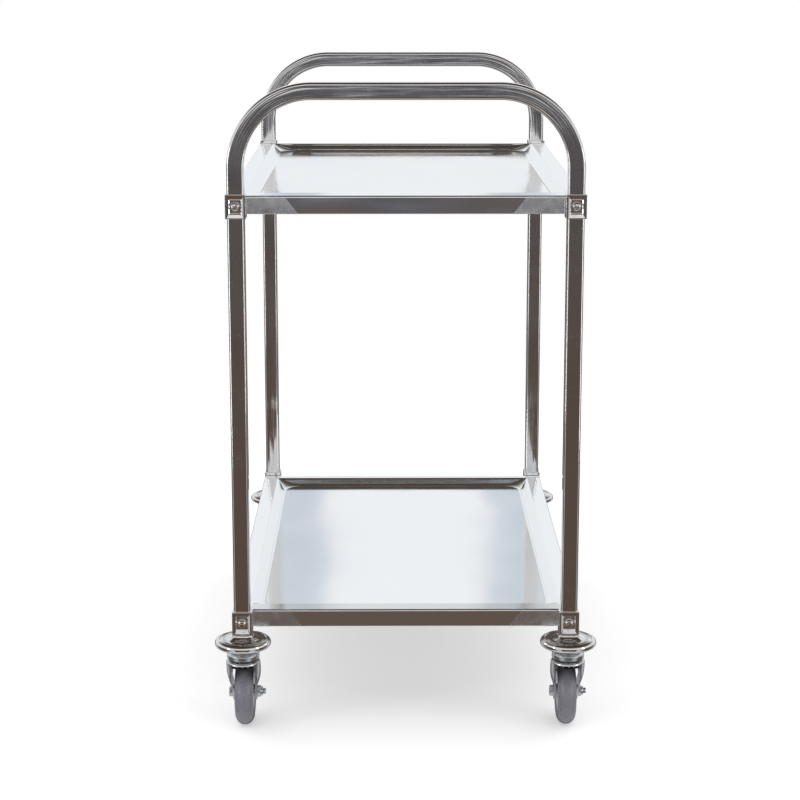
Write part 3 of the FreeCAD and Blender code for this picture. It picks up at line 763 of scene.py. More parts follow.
def make_bracket_mesh(tier):
    low, high = from_post(tier + "_bracket_front_left")
    half_x = high[0]
    half_z = (high[2] - low[2]) / 2
    middle_z = (low[2] + high[2]) / 2
    edge = [(half_x, half_z, CASTING_EDGE, -3 * MM), (half_x, half_z, CASTING_EDGE, 0),
            (half_x - 1.35 * MM, half_z - 1.35 * MM, 0.4 * MM, 0)]
    dish = [(half_x - 1.2 * MM, half_z - 1.2 * MM, 0.6 * MM, 0), *in_mm(*DISH)]
    stations = eased(edge, CASTING_EDGE, 6)[:-1] + eased(dish, DISH_EDGE)[1:]
    face = skin([rounded_outline(*station, arc_steps=8) for station in stations])
    ring_line = bent_path(in_mm(
        (8.2, -2.2, 0), (8.2, -1.3, 0.25), (3.3, -1.3, 0.15), (3.3, -2.2, 0)
    ), steps=3)
    ring = lathe(ring_line, looped=True)
    sleeve_x = half_x - 0.04 * MM
    front_y = low[1] + 2.4 * MM
    half_y = (high[1] - front_y) / 2
    shift_y = (high[1] + front_y) / 2
    hole = TUBE / 2 + POST_FIT
    hole_corner = 4.05 * MM
    walls = eased([
        (hole, hole, hole_corner, middle_z, 0), (hole, hole, hole_corner, high[2], 0),
        (sleeve_x, half_y, 2 * MM, high[2], shift_y), (sleeve_x, half_y, 2 * MM, low[2], shift_y),
        (hole, hole, hole_corner, low[2], 0), (hole, hole, hole_corner, middle_z, 0),
    ], 0.4 * MM)[:-1]
    sleeve = skin([rounded_outline(*wall, arc_steps=8) for wall in walls], looped=True)
    front = [upright(shell, low[1], middle_z) for shell in (face, ring)]
    return to_mesh(tier + "_bracket", *joined([sleeve, *front]), chrome)


for tier in ("upper", "lower"):
    bracket_mesh = make_bracket_mesh(tier)
    add_at_posts(tier + "_bracket", bracket_mesh, "frame")
    print(tier, "bracket faces", len(bracket_mesh.polygons))

# %% [markdown]
# ## Stiffeners
# Two folded channels are welded under each tray. Their shape is already right in the frame, so
# it is copied, its loose triangles are joined into real faces, and a small bevel rounds the
# folds, because it is the rounded fold that catches a line of light.

# %% Fold the stiffeners
def join_flats(edit):
    """Merges a frame node's loose triangles into the flat faces that they came from."""
    bmesh.ops.remove_doubles(edit, verts=edit.verts, dist=2e-6)
    flat = math.radians(0.5)
    bmesh.ops.dissolve_limit(edit, angle_limit=flat, verts=edit.verts, edges=edit.edges)


def softened(node, material):
    """Copy of a node with joined faces and rounded edges."""
    mesh = reworked(frame["nodes"][node].data.copy(), join_flats)
    mesh.shade_smooth()
    mesh.materials.clear()
    mesh.materials.append(material)
    return finished(mesh, rounding(0.4, 30, segments=3))


for tier in ("upper", "lower"):
    channels = tier + "_tray_stiffeners"
    folded = softened(channels, sheet_steel)
    store_pressed(folded, low_high(tier + "_tray")[1][2])
    add_piece(channels + "_folded", folded, "frame", [channels])
print("stiffeners folded")

# %% [markdown]
# ## Screws and nuts
# The same pan-head screw and hexagon nut sit at all eight joints, so each is made once and a
# tree sets it on eight points. A screw stops wherever it comes tight, so a seeded random turn
# leaves every cross at its own angle.

# %% Cut the screw and the nut
SCREW_R = 3.0 * MM
HEAD_R = 6.5 * MM
HEAD_RIM = 1.9 * MM
HEAD_HEIGHT = 4.2 * MM
# The cross recess: half length, half width and height of its mouth and of its floor, in mm.
CROSS = [(4.2, 0.85, 4.8), (3.3, 0.6, 1.7)]
NUT_FLATS = 10.0 * MM
NUT_HEIGHT = 5.0 * MM


def hexagon_ring(flats, limit, height, segments=72):
    """Ring round a hexagon whose corners are cut back to a limit radius."""
    angles = np.arange(segments) * 2 * math.pi / segments
    fold = (angles + math.pi / 6) % (math.pi / 3) - math.pi / 6
    radius = np.minimum(flats / 2 / np.cos(fold), limit)
    return np.column_stack([radius * np.cos(angles), radius * np.sin(angles),
                            np.full(segments, height)])


def circle_ring(radius, height, segments=72):
    return hexagon_ring(4 * radius, radius, height, segments)


def chamfered_hexagon(flats, low, high, top_only=False):
    """Rings of a hexagon bar whose end corners are turned off at 30 degrees."""
    corner = flats / math.sqrt(3)
    # The turned end starts just inside the flats.
    turned_off = flats * 0.475
    fall = (corner - turned_off) * math.tan(math.radians(30))
    cuts = [0, 0.25, 0.5, 0.75, 1.0]
    upper = [(turned_off + (corner - turned_off) * c, high - fall * c) for c in cuts]
    lower = [] if top_only else [(limit, low + high - z) for limit, z in upper]
    rings = [hexagon_ring(flats, limit, z) for limit, z in lower]
    if top_only:
        rings = [hexagon_ring(flats, corner, low)]
    return rings + [hexagon_ring(flats, limit, z) for limit, z in upper[::-1]]


def make_screw_mesh(shank):
    """Pan-head screw along +Z with its seat at the origin."""
    dome = bent_path([
        (SCREW_R, -shank, 0), (SCREW_R, 0, 0), (HEAD_R, 0, 0.3 * MM),
        (HEAD_R, HEAD_RIM, 0.8 * MM), (HEAD_R * 0.72, HEAD_HEIGHT * 0.93, 2.0 * MM),
        (0.6 * MM, HEAD_HEIGHT, 0),
    ], steps=5)
    body = to_mesh("screw", *lathe(dome, segments=64), nickel)
    slots = []
    for turn in (0, math.pi / 2):
        rings = []
        for length, width, height in CROSS:
            ring = [(sx * length, sy * width) for sx, sy in ((1, 1), (-1, 1), (-1, -1), (1, -1))]
            rings.append(MM * np.array([
                (x * math.cos(turn) - y * math.sin(turn), x * math.sin(turn) + y * math.cos(turn),
                 height) for x, y in ring
            ]))
        slots.append(skin(rings))
    cross = bpy.data.objects.new("cross", to_mesh("cross", *joined(slots), nickel))
    cross.data.shade_flat()
    bpy.context.scene.collection.objects.link(cross)
    cut = {"object": cross, "operation": "DIFFERENCE", "solver": "EXACT", "use_self": True}
    screw = finished(body, ("BOOLEAN", cut), rounding(0.12, 35))
    bpy.data.objects.remove(cross)
    return screw


def make_nut_mesh():
    """Hexagon nut along +Z, from its seat at the origin."""
    hexagon = chamfered_hexagon(NUT_FLATS, 0, NUT_HEIGHT)
    bore = SCREW_R + 0.05 * MM
    rings = [circle_ring(bore, 0)] + hexagon + [circle_ring(bore, NUT_HEIGHT)]
    return to_mesh("nut", *skin(rings, looped=True), nickel)


# %% Set the screws and nuts on their points
def make_set_tree(name, material, seed):
    """Tree that sets one part on every point, along the point's own direction."""
    tree, given = new_tree(name, {"Part": "Object", "Largest turn": "Float"})
    part = add_node(
        tree, "GeometryNodeObjectInfo", {"Object": given["Part"], "As Instance": True}
    )
    facing = add_node(
        tree, "GeometryNodeInputNamedAttribute", {"Name": "facing"}, data_type="FLOAT_VECTOR"
    )
    lined_up = add_node(
        tree, "FunctionNodeAlignRotationToVector",
        {"Vector": facing.outputs["Attribute"]}, axis="Z"
    )
    turn = add_node(
        tree, "FunctionNodeRandomValue", {3: given["Largest turn"], "Seed": seed},
        data_type="FLOAT"
    )
    twist = add_node(
        tree, "FunctionNodeAxisAngleToRotation",
        {"Axis": (0.0, 0.0, 1.0), "Angle": turn.outputs[1]}
    )
    turned = add_node(
        tree, "FunctionNodeRotateRotation",
        {"Rotation": lined_up.outputs["Rotation"], "Rotate By": twist.outputs["Rotation"]},
        rotation_space="LOCAL"
    )
    placed = add_node(
        tree, "GeometryNodeInstanceOnPoints",
        {"Points": given["Geometry"], "Instance": part.outputs["Geometry"],
         "Rotation": turned.outputs["Rotation"]}
    )
    end_tree(tree, placed.outputs["Instances"], material)
    return tree


# %% Find the joints and add the fasteners
def point_object(name, points, directions):
    """Bare points, each with the direction that its part faces."""
    mesh = bpy.data.meshes.new(name)
    mesh.from_pydata(points, [], [])
    facing = mesh.attributes.new("facing", "FLOAT_VECTOR", "POINT")
    for i, direction in enumerate(directions):
        facing.data[i].vector = direction
    base = bpy.data.objects.new(name, mesh)
    bpy.context.scene.collection.objects.link(base)
    return base


def set_on_points(name, part_mesh, points, directions, largest_turn, seed):
    """Sets a part on points and returns one plain mesh."""
    part = bpy.data.objects.new("part", part_mesh)
    bpy.context.scene.collection.objects.link(part)
    tree = make_set_tree(name, part_mesh.materials[0], seed)
    base = point_object(name, points, directions)
    mesh = run_tree(tree, base, {"Part": part, "Largest turn": largest_turn})
    bpy.data.objects.remove(part)
    return mesh


def joint_points(distance_y, outward):
    """The eight tray joints: a point at a distance from the middle, and which way it faces."""
    points = []
    directions = []
    for tier in ("upper", "lower"):
        for end, side in CORNERS:
            low, high = low_high("_".join((tier, "bracket", end, side)))
            sign = ENDS[end]
            points.append(((low[0] + high[0]) / 2, sign * distance_y, (low[2] + high[2]) / 2))
            directions.append((0, sign * outward, 0))
    return points, directions


def add_fasteners():
    nut_face = low_high("tray_nuts")[1][1]
    seat = low_high("tray_screws")[1][1] - HEAD_HEIGHT
    end_of_shank = nut_face - NUT_HEIGHT - 2.0 * MM
    points, directions = joint_points(seat, 1)
    screw = make_screw_mesh(seat - end_of_shank)
    screws = set_on_points("set_screws", screw, points, directions, math.pi / 2, seed=7)
    add_piece("tray_screw_heads", screws, "frame", ["tray_screws"])
    points, directions = joint_points(nut_face, -1)
    nuts = set_on_points("set_nuts", make_nut_mesh(), points, directions, math.pi / 3, seed=11)
    add_piece("tray_hex_nuts", nuts, "frame", ["tray_nuts"])
    print("screw faces", len(screws.polygons), "nut faces", len(nuts.polygons))


add_fasteners()

# %% [markdown]
# ## Foot bumpers
# The bumper is a chromed disc that meets walls before the tray does. Its rim is a full round,
# a shallow groove runs inside it, and the middle flares up into a square collar round the
# post. Each ring of the mesh is therefore part circle and part rounded square, and the share
# of square grows up the flare, as it does when such a shape is cast.

# %% Make the bumpers
COLLAR_HALF = TUBE / 2 + 1.8 * MM
SOCKET_HALF = TUBE / 2 + 0.1 * MM
STEM_HOLE = 6.1 * MM
CUP_TOP = 147.0 * MM
CUP_R = 22.5 * MM
CAVITY_R = 40.4 * MM
RIM_MIDDLE_R = 38.8 * MM


def square_reach(angles, half, corner):
    """Distance from the centre to a rounded square, in each direction."""
    fold = np.abs((angles + math.pi / 4) % (math.pi / 2) - math.pi / 4)
    flat = half / np.cos(fold)
    middle = (half - corner) * (np.cos(fold) + np.sin(fold))
    inside = np.maximum(middle ** 2 - 2 * (half - corner) ** 2 + corner ** 2, 0)
    rounded = middle + np.sqrt(inside)
    return np.where(flat * np.sin(fold) <= half - corner, flat, rounded)


def make_bumper_mesh():
    low, high = from_post("bumper_front_left")
    base = low[2]
    radius = high[0]
    round_r = high[1] - RIM_MIDDLE_R
    rim_top = base + 2 * round_r
    rim_middle = base + round_r
    rim = []
    for angle in np.linspace(-72, 90, 28):
        r = radius - round_r + round_r * math.cos(math.radians(angle))
        rim.append((r, rim_middle + round_r * math.sin(math.radians(angle)), 0))
    cavity_top = rim_top - 3 * MM
    under = bent_path([
        (STEM_HOLE, CUP_TOP, 0.3 * MM), (CUP_R, CUP_TOP, 0.6 * MM), (CUP_R, cavity_top, 1.0 * MM),
        (CAVITY_R, cavity_top, 1.0 * MM), (CAVITY_R, base + 0.3 * MM, 0.25 * MM), rim[0],
        (STEM_HOLE, FOOT_Z, 0),
    ])[1:-1]
    over = bent_path([
        rim[-1], (38.5 * MM, rim_top, 0.3 * MM), (37.6 * MM, rim_top - 1.3 * MM, 0.7 * MM),
        (36.0 * MM, rim_top - 1.2 * MM, 0.8 * MM), (34.2 * MM, rim_top - 0.3 * MM, 1.4 * MM),
        (27 * MM, rim_top - 0.7 * MM, 9 * MM), (COLLAR_HALF + 1.6 * MM, rim_top + 2.6 * MM, 7 * MM),
        (COLLAR_HALF, high[2] - 2.0 * MM, 2.5 * MM), (COLLAR_HALF, high[2], 0.4 * MM),
        (SOCKET_HALF, high[2], 0.3 * MM), (SOCKET_HALF, FOOT_Z, 0.3 * MM),
        (STEM_HOLE, FOOT_Z, 0.3 * MM), (STEM_HOLE, CUP_TOP, 0),
    ])[1:-1]
    section = np.array([*under, *[point[:2] for point in rim[1:]], *over])
    segments = 120
    angles = np.arange(segments) * 2 * math.pi / segments
    rings = []
    for r, z in section:
        on_top = z > FOOT_Z - 0.5 * MM and r > 13 * MM
        share = ease(np.clip((29 * MM - r) / (12 * MM), 0, 1)) if on_top else 0.0
        square = square_reach(angles, r, min(5.8 * MM, r * 0.4))
        reach = (1 - share) * r + share * square
        rings.append(np.column_stack([
            reach * np.cos(angles), reach * np.sin(angles), np.full(segments, z)
        ]))
    print("bumper rim", round(2 * round_r, 4), "rings", len(rings))
    return to_mesh("bumper", *skin(rings, looped=True), chrome)


add_at_posts("bumper", make_bumper_mesh(), "frame")

# %% [markdown]
# ## Caster heads and bearings
# Above the fork sits a pressed cup on the threaded stem, below it a race plate held by the
# riveted end of the king pin. Two rows of balls run between them and the fork's crown. The
# turned shapes come from one section each, and a tree sets the balls round their circles.

# %% Turn the heads and set the balls
def make_head_mesh():
    low, high = from_post("caster_head_front_left")
    race_low = from_post("lower_race_front_left")[0]
    stem = 6.0 * MM
    cup = high[0]
    top = CUP_TOP - 0.02 * MM
    section = bent_path([
        (0.4 * MM, low[2], 0), (9.0 * MM, low[2], 1.2 * MM), (9.0 * MM, race_low[2], 0.2 * MM),
        (stem, race_low[2], 0), (stem, 129.6 * MM, 0.4 * MM), (24.0 * MM, 129.6 * MM, 0.5 * MM),
        (24.0 * MM, 126.5 * MM, 0.4 * MM), (cup, 126.5 * MM, 1.2 * MM),
        (cup, 133.5 * MM, 1.8 * MM), (cup - 1.8 * MM, 136.5 * MM, 2.0 * MM),
        (21.5 * MM, 141.5 * MM, 2.5 * MM), (19.0 * MM, top, 0.3 * MM), (stem, top, 0.4 * MM),
        (stem, high[2] - 1.5 * MM, 0), (stem - 1.5 * MM, high[2], 0), (0.4 * MM, high[2], 0),
    ], steps=5)
    return to_mesh("head", *lathe(section, segments=96), zinc)


def make_race_mesh():
    low, high = from_post("lower_race_front_left")
    edge = high[0]
    section = bent_path([
        (6.1 * MM, low[2], 0.2 * MM), (edge, low[2], 0.7 * MM), (edge, high[2], 0.7 * MM),
        (6.1 * MM, high[2], 0.2 * MM),
    ], steps=4)
    return to_mesh("race", *lathe(section, segments=96, looped=True), race_steel)


# %% Set the ball rows
# Count, circle radius, ball radius and height of each row, in mm.
BALL_ROWS = {"upper": (14, 20.0, 2.4, 126.9), "lower": (16, 22.5, 2.2, 117.6)}


def make_ball_tree():
    sizes = {"Count": "Int", "Circle radius": "Float", "Ball radius": "Float", "Height": "Float"}
    tree, given = new_tree("ball_row", sizes)
    circle = add_node(
        tree, "GeometryNodeMeshCircle",
        {"Vertices": given["Count"], "Radius": given["Circle radius"]}
    )
    lift = add_node(tree, "ShaderNodeCombineXYZ", {"Z": given["Height"]})
    raised = add_node(
        tree, "GeometryNodeSetPosition",
        {"Geometry": circle.outputs["Mesh"], "Offset": lift.outputs["Vector"]}
    )
    ball = add_node(
        tree, "GeometryNodeMeshUVSphere",
        {"Segments": 20, "Rings": 12, "Radius": given["Ball radius"]}
    )
    smooth = add_node(tree, "GeometryNodeSetShadeSmooth", {"Geometry": ball.outputs["Mesh"]})
    row = add_node(
        tree, "GeometryNodeInstanceOnPoints",
        {"Points": raised.outputs["Geometry"], "Instance": smooth.outputs["Geometry"]}
    )
    end_tree(tree, row.outputs["Instances"], ball_steel)
    return tree


def make_balls_mesh():
    tree = make_ball_tree()
    both = bmesh.new()
    for count, circle_mm, ball_mm, height_mm in BALL_ROWS.values():
        base = point_object("balls", [], [])
        values = {"Count": count, "Circle radius": circle_mm * MM, "Ball radius": ball_mm * MM}
        row = run_tree(tree, base, values | {"Height": height_mm * MM})
        both.from_mesh(row)
    mesh = bpy.data.meshes.new("balls")
    both.to_mesh(mesh)
    both.free()
    mesh.materials.append(ball_steel)
    return mesh


add_at_posts("caster_head", make_head_mesh(), "frame")
add_at_posts("lower_race", make_race_mesh(), "frame")
add_at_posts("race_balls", make_balls_mesh(), "frame")
print("caster heads, races and balls made")

# %% [markdown]
# ## Forks
# A fork is pressed from one plate: a round crown, rolled over at its shoulder, that runs down
# into two legs. The legs keep the crown's curve at the top and flatten towards the axle. The
# outer face is drawn as a sheet of points in leg-wide strips and then given its thickness,
# which is how the press sees it: an even wall everywhere.

# %% Press the forks
CROWN_R = 28.0 * MM
CROWN_TOP = fork_high[2]
SHOULDER = 5.0 * MM
PLATE = 2.5 * MM
LEG_FACE = 19.7 * MM
LEG_END = 14.0 * MM
LEG_REACH = 22.3 * MM
LEG_ROWS = 40
LEG_STRIPS = 24
# Down a leg: height, middle along the trail, outer face, and how much of the crown's curve.
LEG_LINES = [
    (36, 36, 19.7, 0.0), (60, 35, 19.7, 0.02), (72, 27, 21.4, 0.12), (84, 20, 25.7, 0.39),
    (98, 10, 28.0, 0.72), (119, 0, 28.0, 1.0),
]


def edge_point(z, side):
    """Where a leg's front (-1) or rear (+1) edge is at a height, along the trail."""
    top = CROWN_TOP - SHOULDER
    start = side * LEG_REACH
    gap = math.hypot(TRAIL - start, top - AXLE_Z)
    along = math.atan2(AXLE_Z - top, TRAIL - start)
    touch = along + math.pi - side * math.acos(LEG_END / gap)
    touch_y = TRAIL + LEG_END * math.cos(touch)
    touch_z = AXLE_Z + LEG_END * math.sin(touch)
    if z >= touch_z:
        return start + (touch_y - start) * (top - z) / (top - touch_z)
    return TRAIL + side * math.sqrt(max(LEG_END ** 2 - (z - AXLE_Z) ** 2, 0))


def leg_point(z, y):
    """Outer face of a leg: the crown's curve at the top, flat at the axle."""
    heights, middles, faces, curves = np.array(LEG_LINES).T
    near = z / MM + np.linspace(-5, 5, 11)
    middle, face, curve = (
        np.interp(near, heights, line).mean() for line in (middles, faces, curves)
    )
    chord = min(abs(y / MM - middle), 26.5)
    sag = (28.0 - math.sqrt(28.0 ** 2 - chord ** 2)) * curve
    return (face - sag) * MM


# %% Build the fork and give it its thickness
def make_fork_mesh():
    top = CROWN_TOP - SHOULDER
    vertices = []
    faces = []
    half_angle = math.asin(LEG_REACH / CROWN_R)
    crown_angles = list(np.linspace(-half_angle, half_angle, LEG_STRIPS + 1))
    gap_angles = list(np.linspace(half_angle, math.pi - half_angle, LEG_STRIPS + 1))[1:-1]
    ring_angles = crown_angles + gap_angles
    ring_angles += [a + math.pi for a in crown_angles] + [a + math.pi for a in gap_angles]
    count = len(ring_angles)
    shoulder = [(CROWN_R - SHOULDER + SHOULDER * math.cos(a), top + SHOULDER * math.sin(a))
                for a in np.linspace(math.pi / 2, 0, 9)]
    profile = [(6.8 * MM, CROWN_TOP), (CROWN_R - SHOULDER - HOLD, CROWN_TOP)] + shoulder
    for r, z in profile:
        vertices += [(r * math.cos(a), r * math.sin(a), z) for a in ring_angles]
    for i in range(len(profile) - 1):
        for k in range(count):
            n = (k + 1) % count
            faces.append((i * count + k, i * count + n, (i + 1) * count + n, (i + 1) * count + k))
    heights = list(np.linspace(top, AXLE_Z, LEG_ROWS))[1:]
    heights += [AXLE_Z - LEG_END * math.sin(a) for a in np.linspace(0, math.pi / 2, 13)[1:]]
    for side in (1, -1):
        if side > 0:
            above = [(len(profile) - 1) * count + k for k in range(LEG_STRIPS + 1)]
        else:
            first = (len(profile) - 1) * count + 2 * LEG_STRIPS
            above = [first + LEG_STRIPS - k for k in range(LEG_STRIPS + 1)]
        for z in heights:
            front = edge_point(z, -1)
            rear = edge_point(z, 1)
            below = []
            for k in range(LEG_STRIPS + 1):
                share = math.sin(crown_angles[k]) / math.sin(half_angle)
                y = (front + rear) / 2 + (rear - front) / 2 * share
                below.append(len(vertices))
                vertices.append((side * leg_point(z, y), y, z))
            for k in range(LEG_STRIPS):
                faces.append((above[k], above[k + 1], below[k + 1], below[k]))
            above = below
    print("fork faces", len(faces))
    return vertices, faces


def face_up(edit):
    """Turns the open sheet's faces so that the crown's top looks up."""
    top_face = max(edit.faces, key=lambda face: face.calc_center_median().z)
    if top_face.normal.z < 0:
        bmesh.ops.reverse_faces(edit, faces=edit.faces)


def make_fork():
    mesh = reworked(to_mesh("fork", *make_fork_mesh(), zinc), face_up)
    thicken = {"thickness": PLATE, "offset": -1.0, "use_even_offset": True}
    return finished(mesh, ("SOLIDIFY", thicken), rounding(0.35, 50))


add_at_posts("fork", make_fork(), "fork")

# %% [markdown]
# ## Axles
# The axle is a hexagon-headed bolt with a lock nut, and a little of its thread stands out past
# the nut. Bolt and nut are rings round one line: hexagon rings for the flats, whose corners
# are turned off in the lathe, and circles for shank, collar and thread.

# %% Make the axle bolts and nuts
AXLE_R = 5.0 * MM
THREAD_PITCH = 1.5 * MM
THREAD_DEPTH = 0.8 * MM


def along_axle(mesh):
    """Lays a piece drawn along +Z onto the axle, pointing along +X."""
    lie = Matrix.Rotation(math.pi / 2, 4, "Y")
    mesh.transform(Matrix.Translation((0, TRAIL, AXLE_Z)) @ lie)
    return mesh


def make_bolt_mesh():
    low, high = from_post("axle_bolt_front_left")
    flats = high[1] - low[1]
    face = -(LEG_FACE + 0.05 * MM)
    head = chamfered_hexagon(flats, -face, -low[0], top_only=True)
    head = [ring * np.array([1, 1, -1]) for ring in head[::-1]]
    end = high[0]
    rings = [circle_ring(flats * 0.3, low[0])] + head
    rings += [circle_ring(AXLE_R, face + 0.01 * MM)]
    thread_start = end - 14 * MM
    rings.append(circle_ring(AXLE_R, thread_start))
    turns = int((end - thread_start - 1.2 * MM) / THREAD_PITCH)
    for k in range(turns):
        root = thread_start + (k + 0.5) * THREAD_PITCH
        rings.append(circle_ring(AXLE_R - THREAD_DEPTH, root))
        rings.append(circle_ring(AXLE_R, root + 0.45 * THREAD_PITCH))
        rings.append(circle_ring(AXLE_R, root + 0.55 * THREAD_PITCH))
    rings.append(circle_ring(AXLE_R - 0.9 * MM, end - 0.2 * MM))
    rings.append(circle_ring(AXLE_R - 1.2 * MM, end))
    return along_axle(to_mesh("bolt", *skin(rings), zinc))


def make_axle_nut_mesh():
    low, high = from_post("axle_nut_front_left")
    flats = high[1] - low[1]
    shoulder = low[0] + 0.68 * (high[0] - low[0])
    bore = AXLE_R + 0.1 * MM
    collar = bent_path([
        (flats * 0.44, shoulder, 0), (flats * 0.44, high[0], 1.4 * MM),
        (bore + 0.5 * MM, high[0], 0.3 * MM), (bore, high[0] - 0.6 * MM, 0.1 * MM),
        (bore, low[0], 0),
    ], steps=4)[:-1]
    rings = [circle_ring(bore, low[0])] + chamfered_hexagon(flats, low[0], shoulder)
    rings += [circle_ring(r, z) for r, z in collar]
    return along_axle(to_mesh("axle_nut", *skin(rings, looped=True), zinc))


for node, mesh in (("axle_bolt", make_bolt_mesh()), ("axle_nut", make_axle_nut_mesh())):
    add_at_posts(node, finished(mesh, rounding(0.15, 28)), "fork")
print("axle bolts and nuts made")

# %% [markdown]
# ## Wheels
# The core is moulded plastic with a dished side, and the tyre is moulded over it with a full
# round tread. Both are turned sections. The small step where rubber meets core, and the thin
# line where the halves of the mould met, tell the eye that the tyre is moulded.

# %% Turn the wheel cores and tyres
def make_hub_mesh():
    low, high = from_post("wheel_hub_front_left")
    boss = high[0]
    rim = (high[2] - low[2]) / 2
    dish = in_mm((12.4, 9.0, 2.0), (15.0, 6.2, 2.0), (24.5, 7.0, 2.0), (28.0, 12.4, 1.2),
                 (30.0, 13.2, 0.6))
    section = bent_path([
        (7.0 * MM, 0, 0), (7.0 * MM, boss, 0.3 * MM), (11.2 * MM, boss, 0.8 * MM), *dish,
        (rim, 13.2 * MM, 0.3 * MM), (rim, 0, 0),
    ], steps=5)[1:-1]
    other = section[::-1] * np.array([1, -1])
    rings = np.concatenate([section, other])
    return along_axle(to_mesh("hub", *lathe(rings, segments=96, looped=True), core_plastic))


def make_tyre_mesh():
    half = from_post("tyre_front_left")[1][0]
    outside = AXLE_Z
    shoulder = 39.4 * MM
    tread = []
    for angle in np.linspace(0, math.pi / 2, 26)[:-1]:
        tread.append((shoulder + (outside - shoulder) * math.sin(angle), half * math.cos(angle)))
    flash = [(outside - 0.02 * MM, 0.45 * MM), (outside, 0.2 * MM)]
    side = bent_path([
        *in_mm((34.0, 0, 0), (34.0, 13.2, 0.3), (35.4, 13.9, 0.5), (36.2, 14.9, 0.5)),
        (shoulder - 1.2 * MM, half - 0.1 * MM, 0),
    ], steps=4)[1:]
    half_section = np.array([*side, *tread, *flash])
    other = half_section[::-1] * np.array([1, -1])
    rings = np.concatenate([half_section, other])
    return along_axle(to_mesh("tyre", *lathe(rings, segments=160, looped=True), rubber))


add_at_posts("wheel_hub", make_hub_mesh(), "wheel")
add_at_posts("tyre", make_tyre_mesh(), "wheel")
print("wheels made")

# %% [markdown]
# ## Pieces that stay as they are
# The plugs inside the posts and the sleeves inside the wheels are hidden once the trolley is
# built. Their shapes are right, so they only take their metals.

# %% Give the hidden pieces their metals
hidden = {"post_plugs": zinc}
for end, side in CORNERS:
    hidden["_".join(("axle_sleeve", end, side))] = zinc
for node, material in hidden.items():
    mesh = frame["nodes"][node].data
    mesh.materials.clear()
    mesh.materials.append(material)
print("hidden pieces", len(hidden))

# %% [markdown]
# ## The studio
# Polished steel shows the room more than itself, so the room matters. The shoot is a pale
# floor under the trolley, a dim warm room beyond it with four pale pillars, and a band of
# large bright panels all round, from the horizon upwards, under a dark ceiling. Upright faces
# mirror the dim zone, level faces mirror the panels, and rounded edges run through both. Matt
# things are lit by the soft light of the whole studio, so rays that leave a matt surface see
# plain white. Two tall soft strips add the highlights on the tyres.

# %% Build the floor
def make_floor():
    count = 96
    radius = 3.4
    angles = [2 * math.pi * k / count for k in range(count)]
    mesh = bpy.data.meshes.new("studio_floor")
    mesh.from_pydata([(radius * math.cos(a), radius * math.sin(a), 0) for a in angles], [],
                     [tuple(range(count))])
    floor = bpy.data.objects.new("studio_floor", mesh)
    bpy.context.scene.collection.objects.link(floor)
    material, tree, shader, place = start_finish(
        "pale_floor", **{"Base Color": linear("#f4f4f4"), "Roughness": 0.95,
                         "Emission Color": linear("#ffffff"), "Emission Strength": 0.3}
    )
    distance = add_node(tree, "ShaderNodeVectorMath", {0: place}, operation="LENGTH")
    fade = {"From Min": 1.2, "From Max": 3.2, "To Min": 1.0, "To Max": 0.0}
    solid = add_node(
        tree, "ShaderNodeMapRange", {"Value": distance.outputs["Value"]} | fade,
        interpolation_type="SMOOTHSTEP"
    )
    tree.links.new(solid.outputs[0], shader.inputs["Alpha"])
    mesh.materials.append(material)
    floor.visible_glossy = False
    print("floor radius", radius)


make_floor()

# %% Build the room
ROOM = [
    (-1.0, "#d8d5d0"), (-0.86, "#e4e1dd"), (-0.76, "#8d837a"), (-0.66, "#5e5047"),
    (-0.33, "#66564b"), (-0.20, "#61554e"), (-0.11, "#5e5a5c"), (-0.06, "#62636a"),
    (-0.045, "#6c7078"), (-0.022, "#dfe3e8"), (-0.01, "#eef1f5"), (0.40, "#ffffff"),
    (0.47, "#d3d6d4"), (0.55, "#aaa49c"), (0.66, "#5d5148"), (1.0, "#483e37"),
]
PANELS = 57
PANEL_TURN = 0.5
PILLARS = 4


def turned_wave(tree, azimuth, times, turn_degrees=0.0):
    """Cosine of the azimuth, repeated round the room."""
    start = -times * math.radians(turn_degrees)
    many = add_node(
        tree, "ShaderNodeMath", {0: azimuth, 1: float(times), 2: start},
        operation="MULTIPLY_ADD"
    )
    return add_node(tree, "ShaderNodeMath", {0: many}, operation="COSINE")


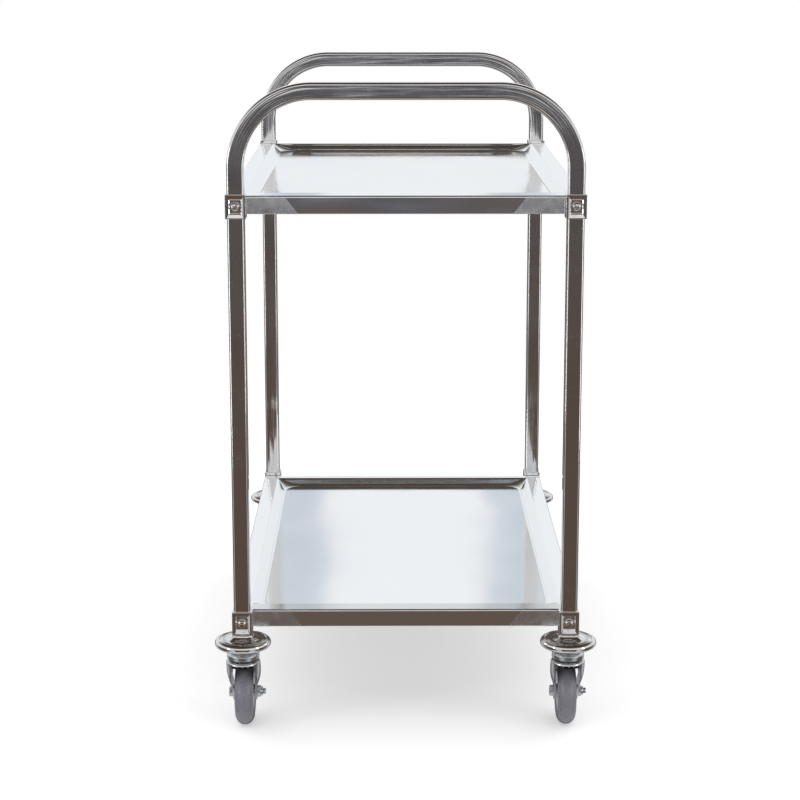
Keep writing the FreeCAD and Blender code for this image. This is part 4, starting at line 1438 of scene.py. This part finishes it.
def make_room():
    world = bpy.data.worlds.new("studio_room")
    bpy.context.scene.world = world
    world.use_nodes = True
    tree = world.node_tree
    tree.nodes.clear()
    direction = add_node(tree, "ShaderNodeTexCoord").outputs["Generated"]
    axes = add_node(tree, "ShaderNodeSeparateXYZ", {"Vector": direction})
    up = axes.outputs["Z"]
    height = add_node(
        tree, "ShaderNodeMapRange", {"Value": up, "From Min": -1.0, "From Max": 1.0}
    )
    stops = [((z + 1) / 2, colour) for z, colour in ROOM]
    sweep = add_node(tree, "ShaderNodeValToRGB", {"Fac": height}, stops)
    azimuth = add_node(
        tree, "ShaderNodeMath", {0: axes.outputs["X"], 1: axes.outputs["Y"]},
        operation="ARCTAN2"
    )
    panel_wave = turned_wave(tree, azimuth, PANELS, PANEL_TURN)
    pillar_wave = turned_wave(tree, azimuth, PILLARS)
    shares = {}
    for name, value, start, full in (
        ("gap", panel_wave, -0.45, -0.9), ("panels", up, 0.15, 0.24),
        ("dark", pillar_wave, -0.15, -0.42), ("light", pillar_wave, -0.5, -0.64),
        ("below", up, -0.02, -0.06),
    ):
        shares[name] = add_node(
            tree, "ShaderNodeMapRange", {"Value": value, "From Min": start, "From Max": full},
            interpolation_type="SMOOTHSTEP"
        )
    colour = sweep.outputs[0]
    for across, upwards, blend, tint in (
        ("gap", "panels", "MULTIPLY", "#d3dae1"), ("dark", "below", "MULTIPLY", "#b4b4b6"),
        ("light", "below", "MIX", "#c9ccd0"),
    ):
        there = add_node(
            tree, "ShaderNodeMath", {0: shares[across], 1: shares[upwards]},
            operation="MULTIPLY"
        )
        colour = add_node(
            tree, "ShaderNodeMix", {"Factor": there, 6: colour, 7: linear(tint)},
            data_type="RGBA", blend_type=blend
        ).outputs[2]
    glossy = add_node(tree, "ShaderNodeBackground", {"Color": colour})
    plain = add_node(tree, "ShaderNodeBackground", {"Color": linear("#ffffff")})
    rays = add_node(tree, "ShaderNodeLightPath")
    both = add_node(
        tree, "ShaderNodeMixShader",
        {"Fac": rays.outputs["Is Glossy Ray"], 1: plain, 2: glossy}
    )
    add_node(tree, "ShaderNodeOutputWorld", {"Surface": both})
    print("room bands", len(ROOM))


make_room()

# %% Hang the lights
def add_light(name, place, target, size, power):
    light = bpy.data.lights.new(name, "AREA")
    light.shape = "RECTANGLE"
    light.size, light.size_y = size
    light.energy = power
    lamp = bpy.data.objects.new(name, light)
    lamp.location = place
    aim = Vector(target) - Vector(place)
    lamp.rotation_euler = aim.to_track_quat("-Z", "Y").to_euler()
    bpy.context.scene.collection.objects.link(lamp)


add_light("strip_left", (-2.3, -1.7, 0.55), (0, 0, 0.4), (0.35, 1.3), 8)
add_light("strip_right", (2.3, -1.7, 0.55), (0, 0, 0.4), (0.35, 1.3), 7)
bpy.context.scene.view_settings.view_transform = "Standard"
print("lights hung")
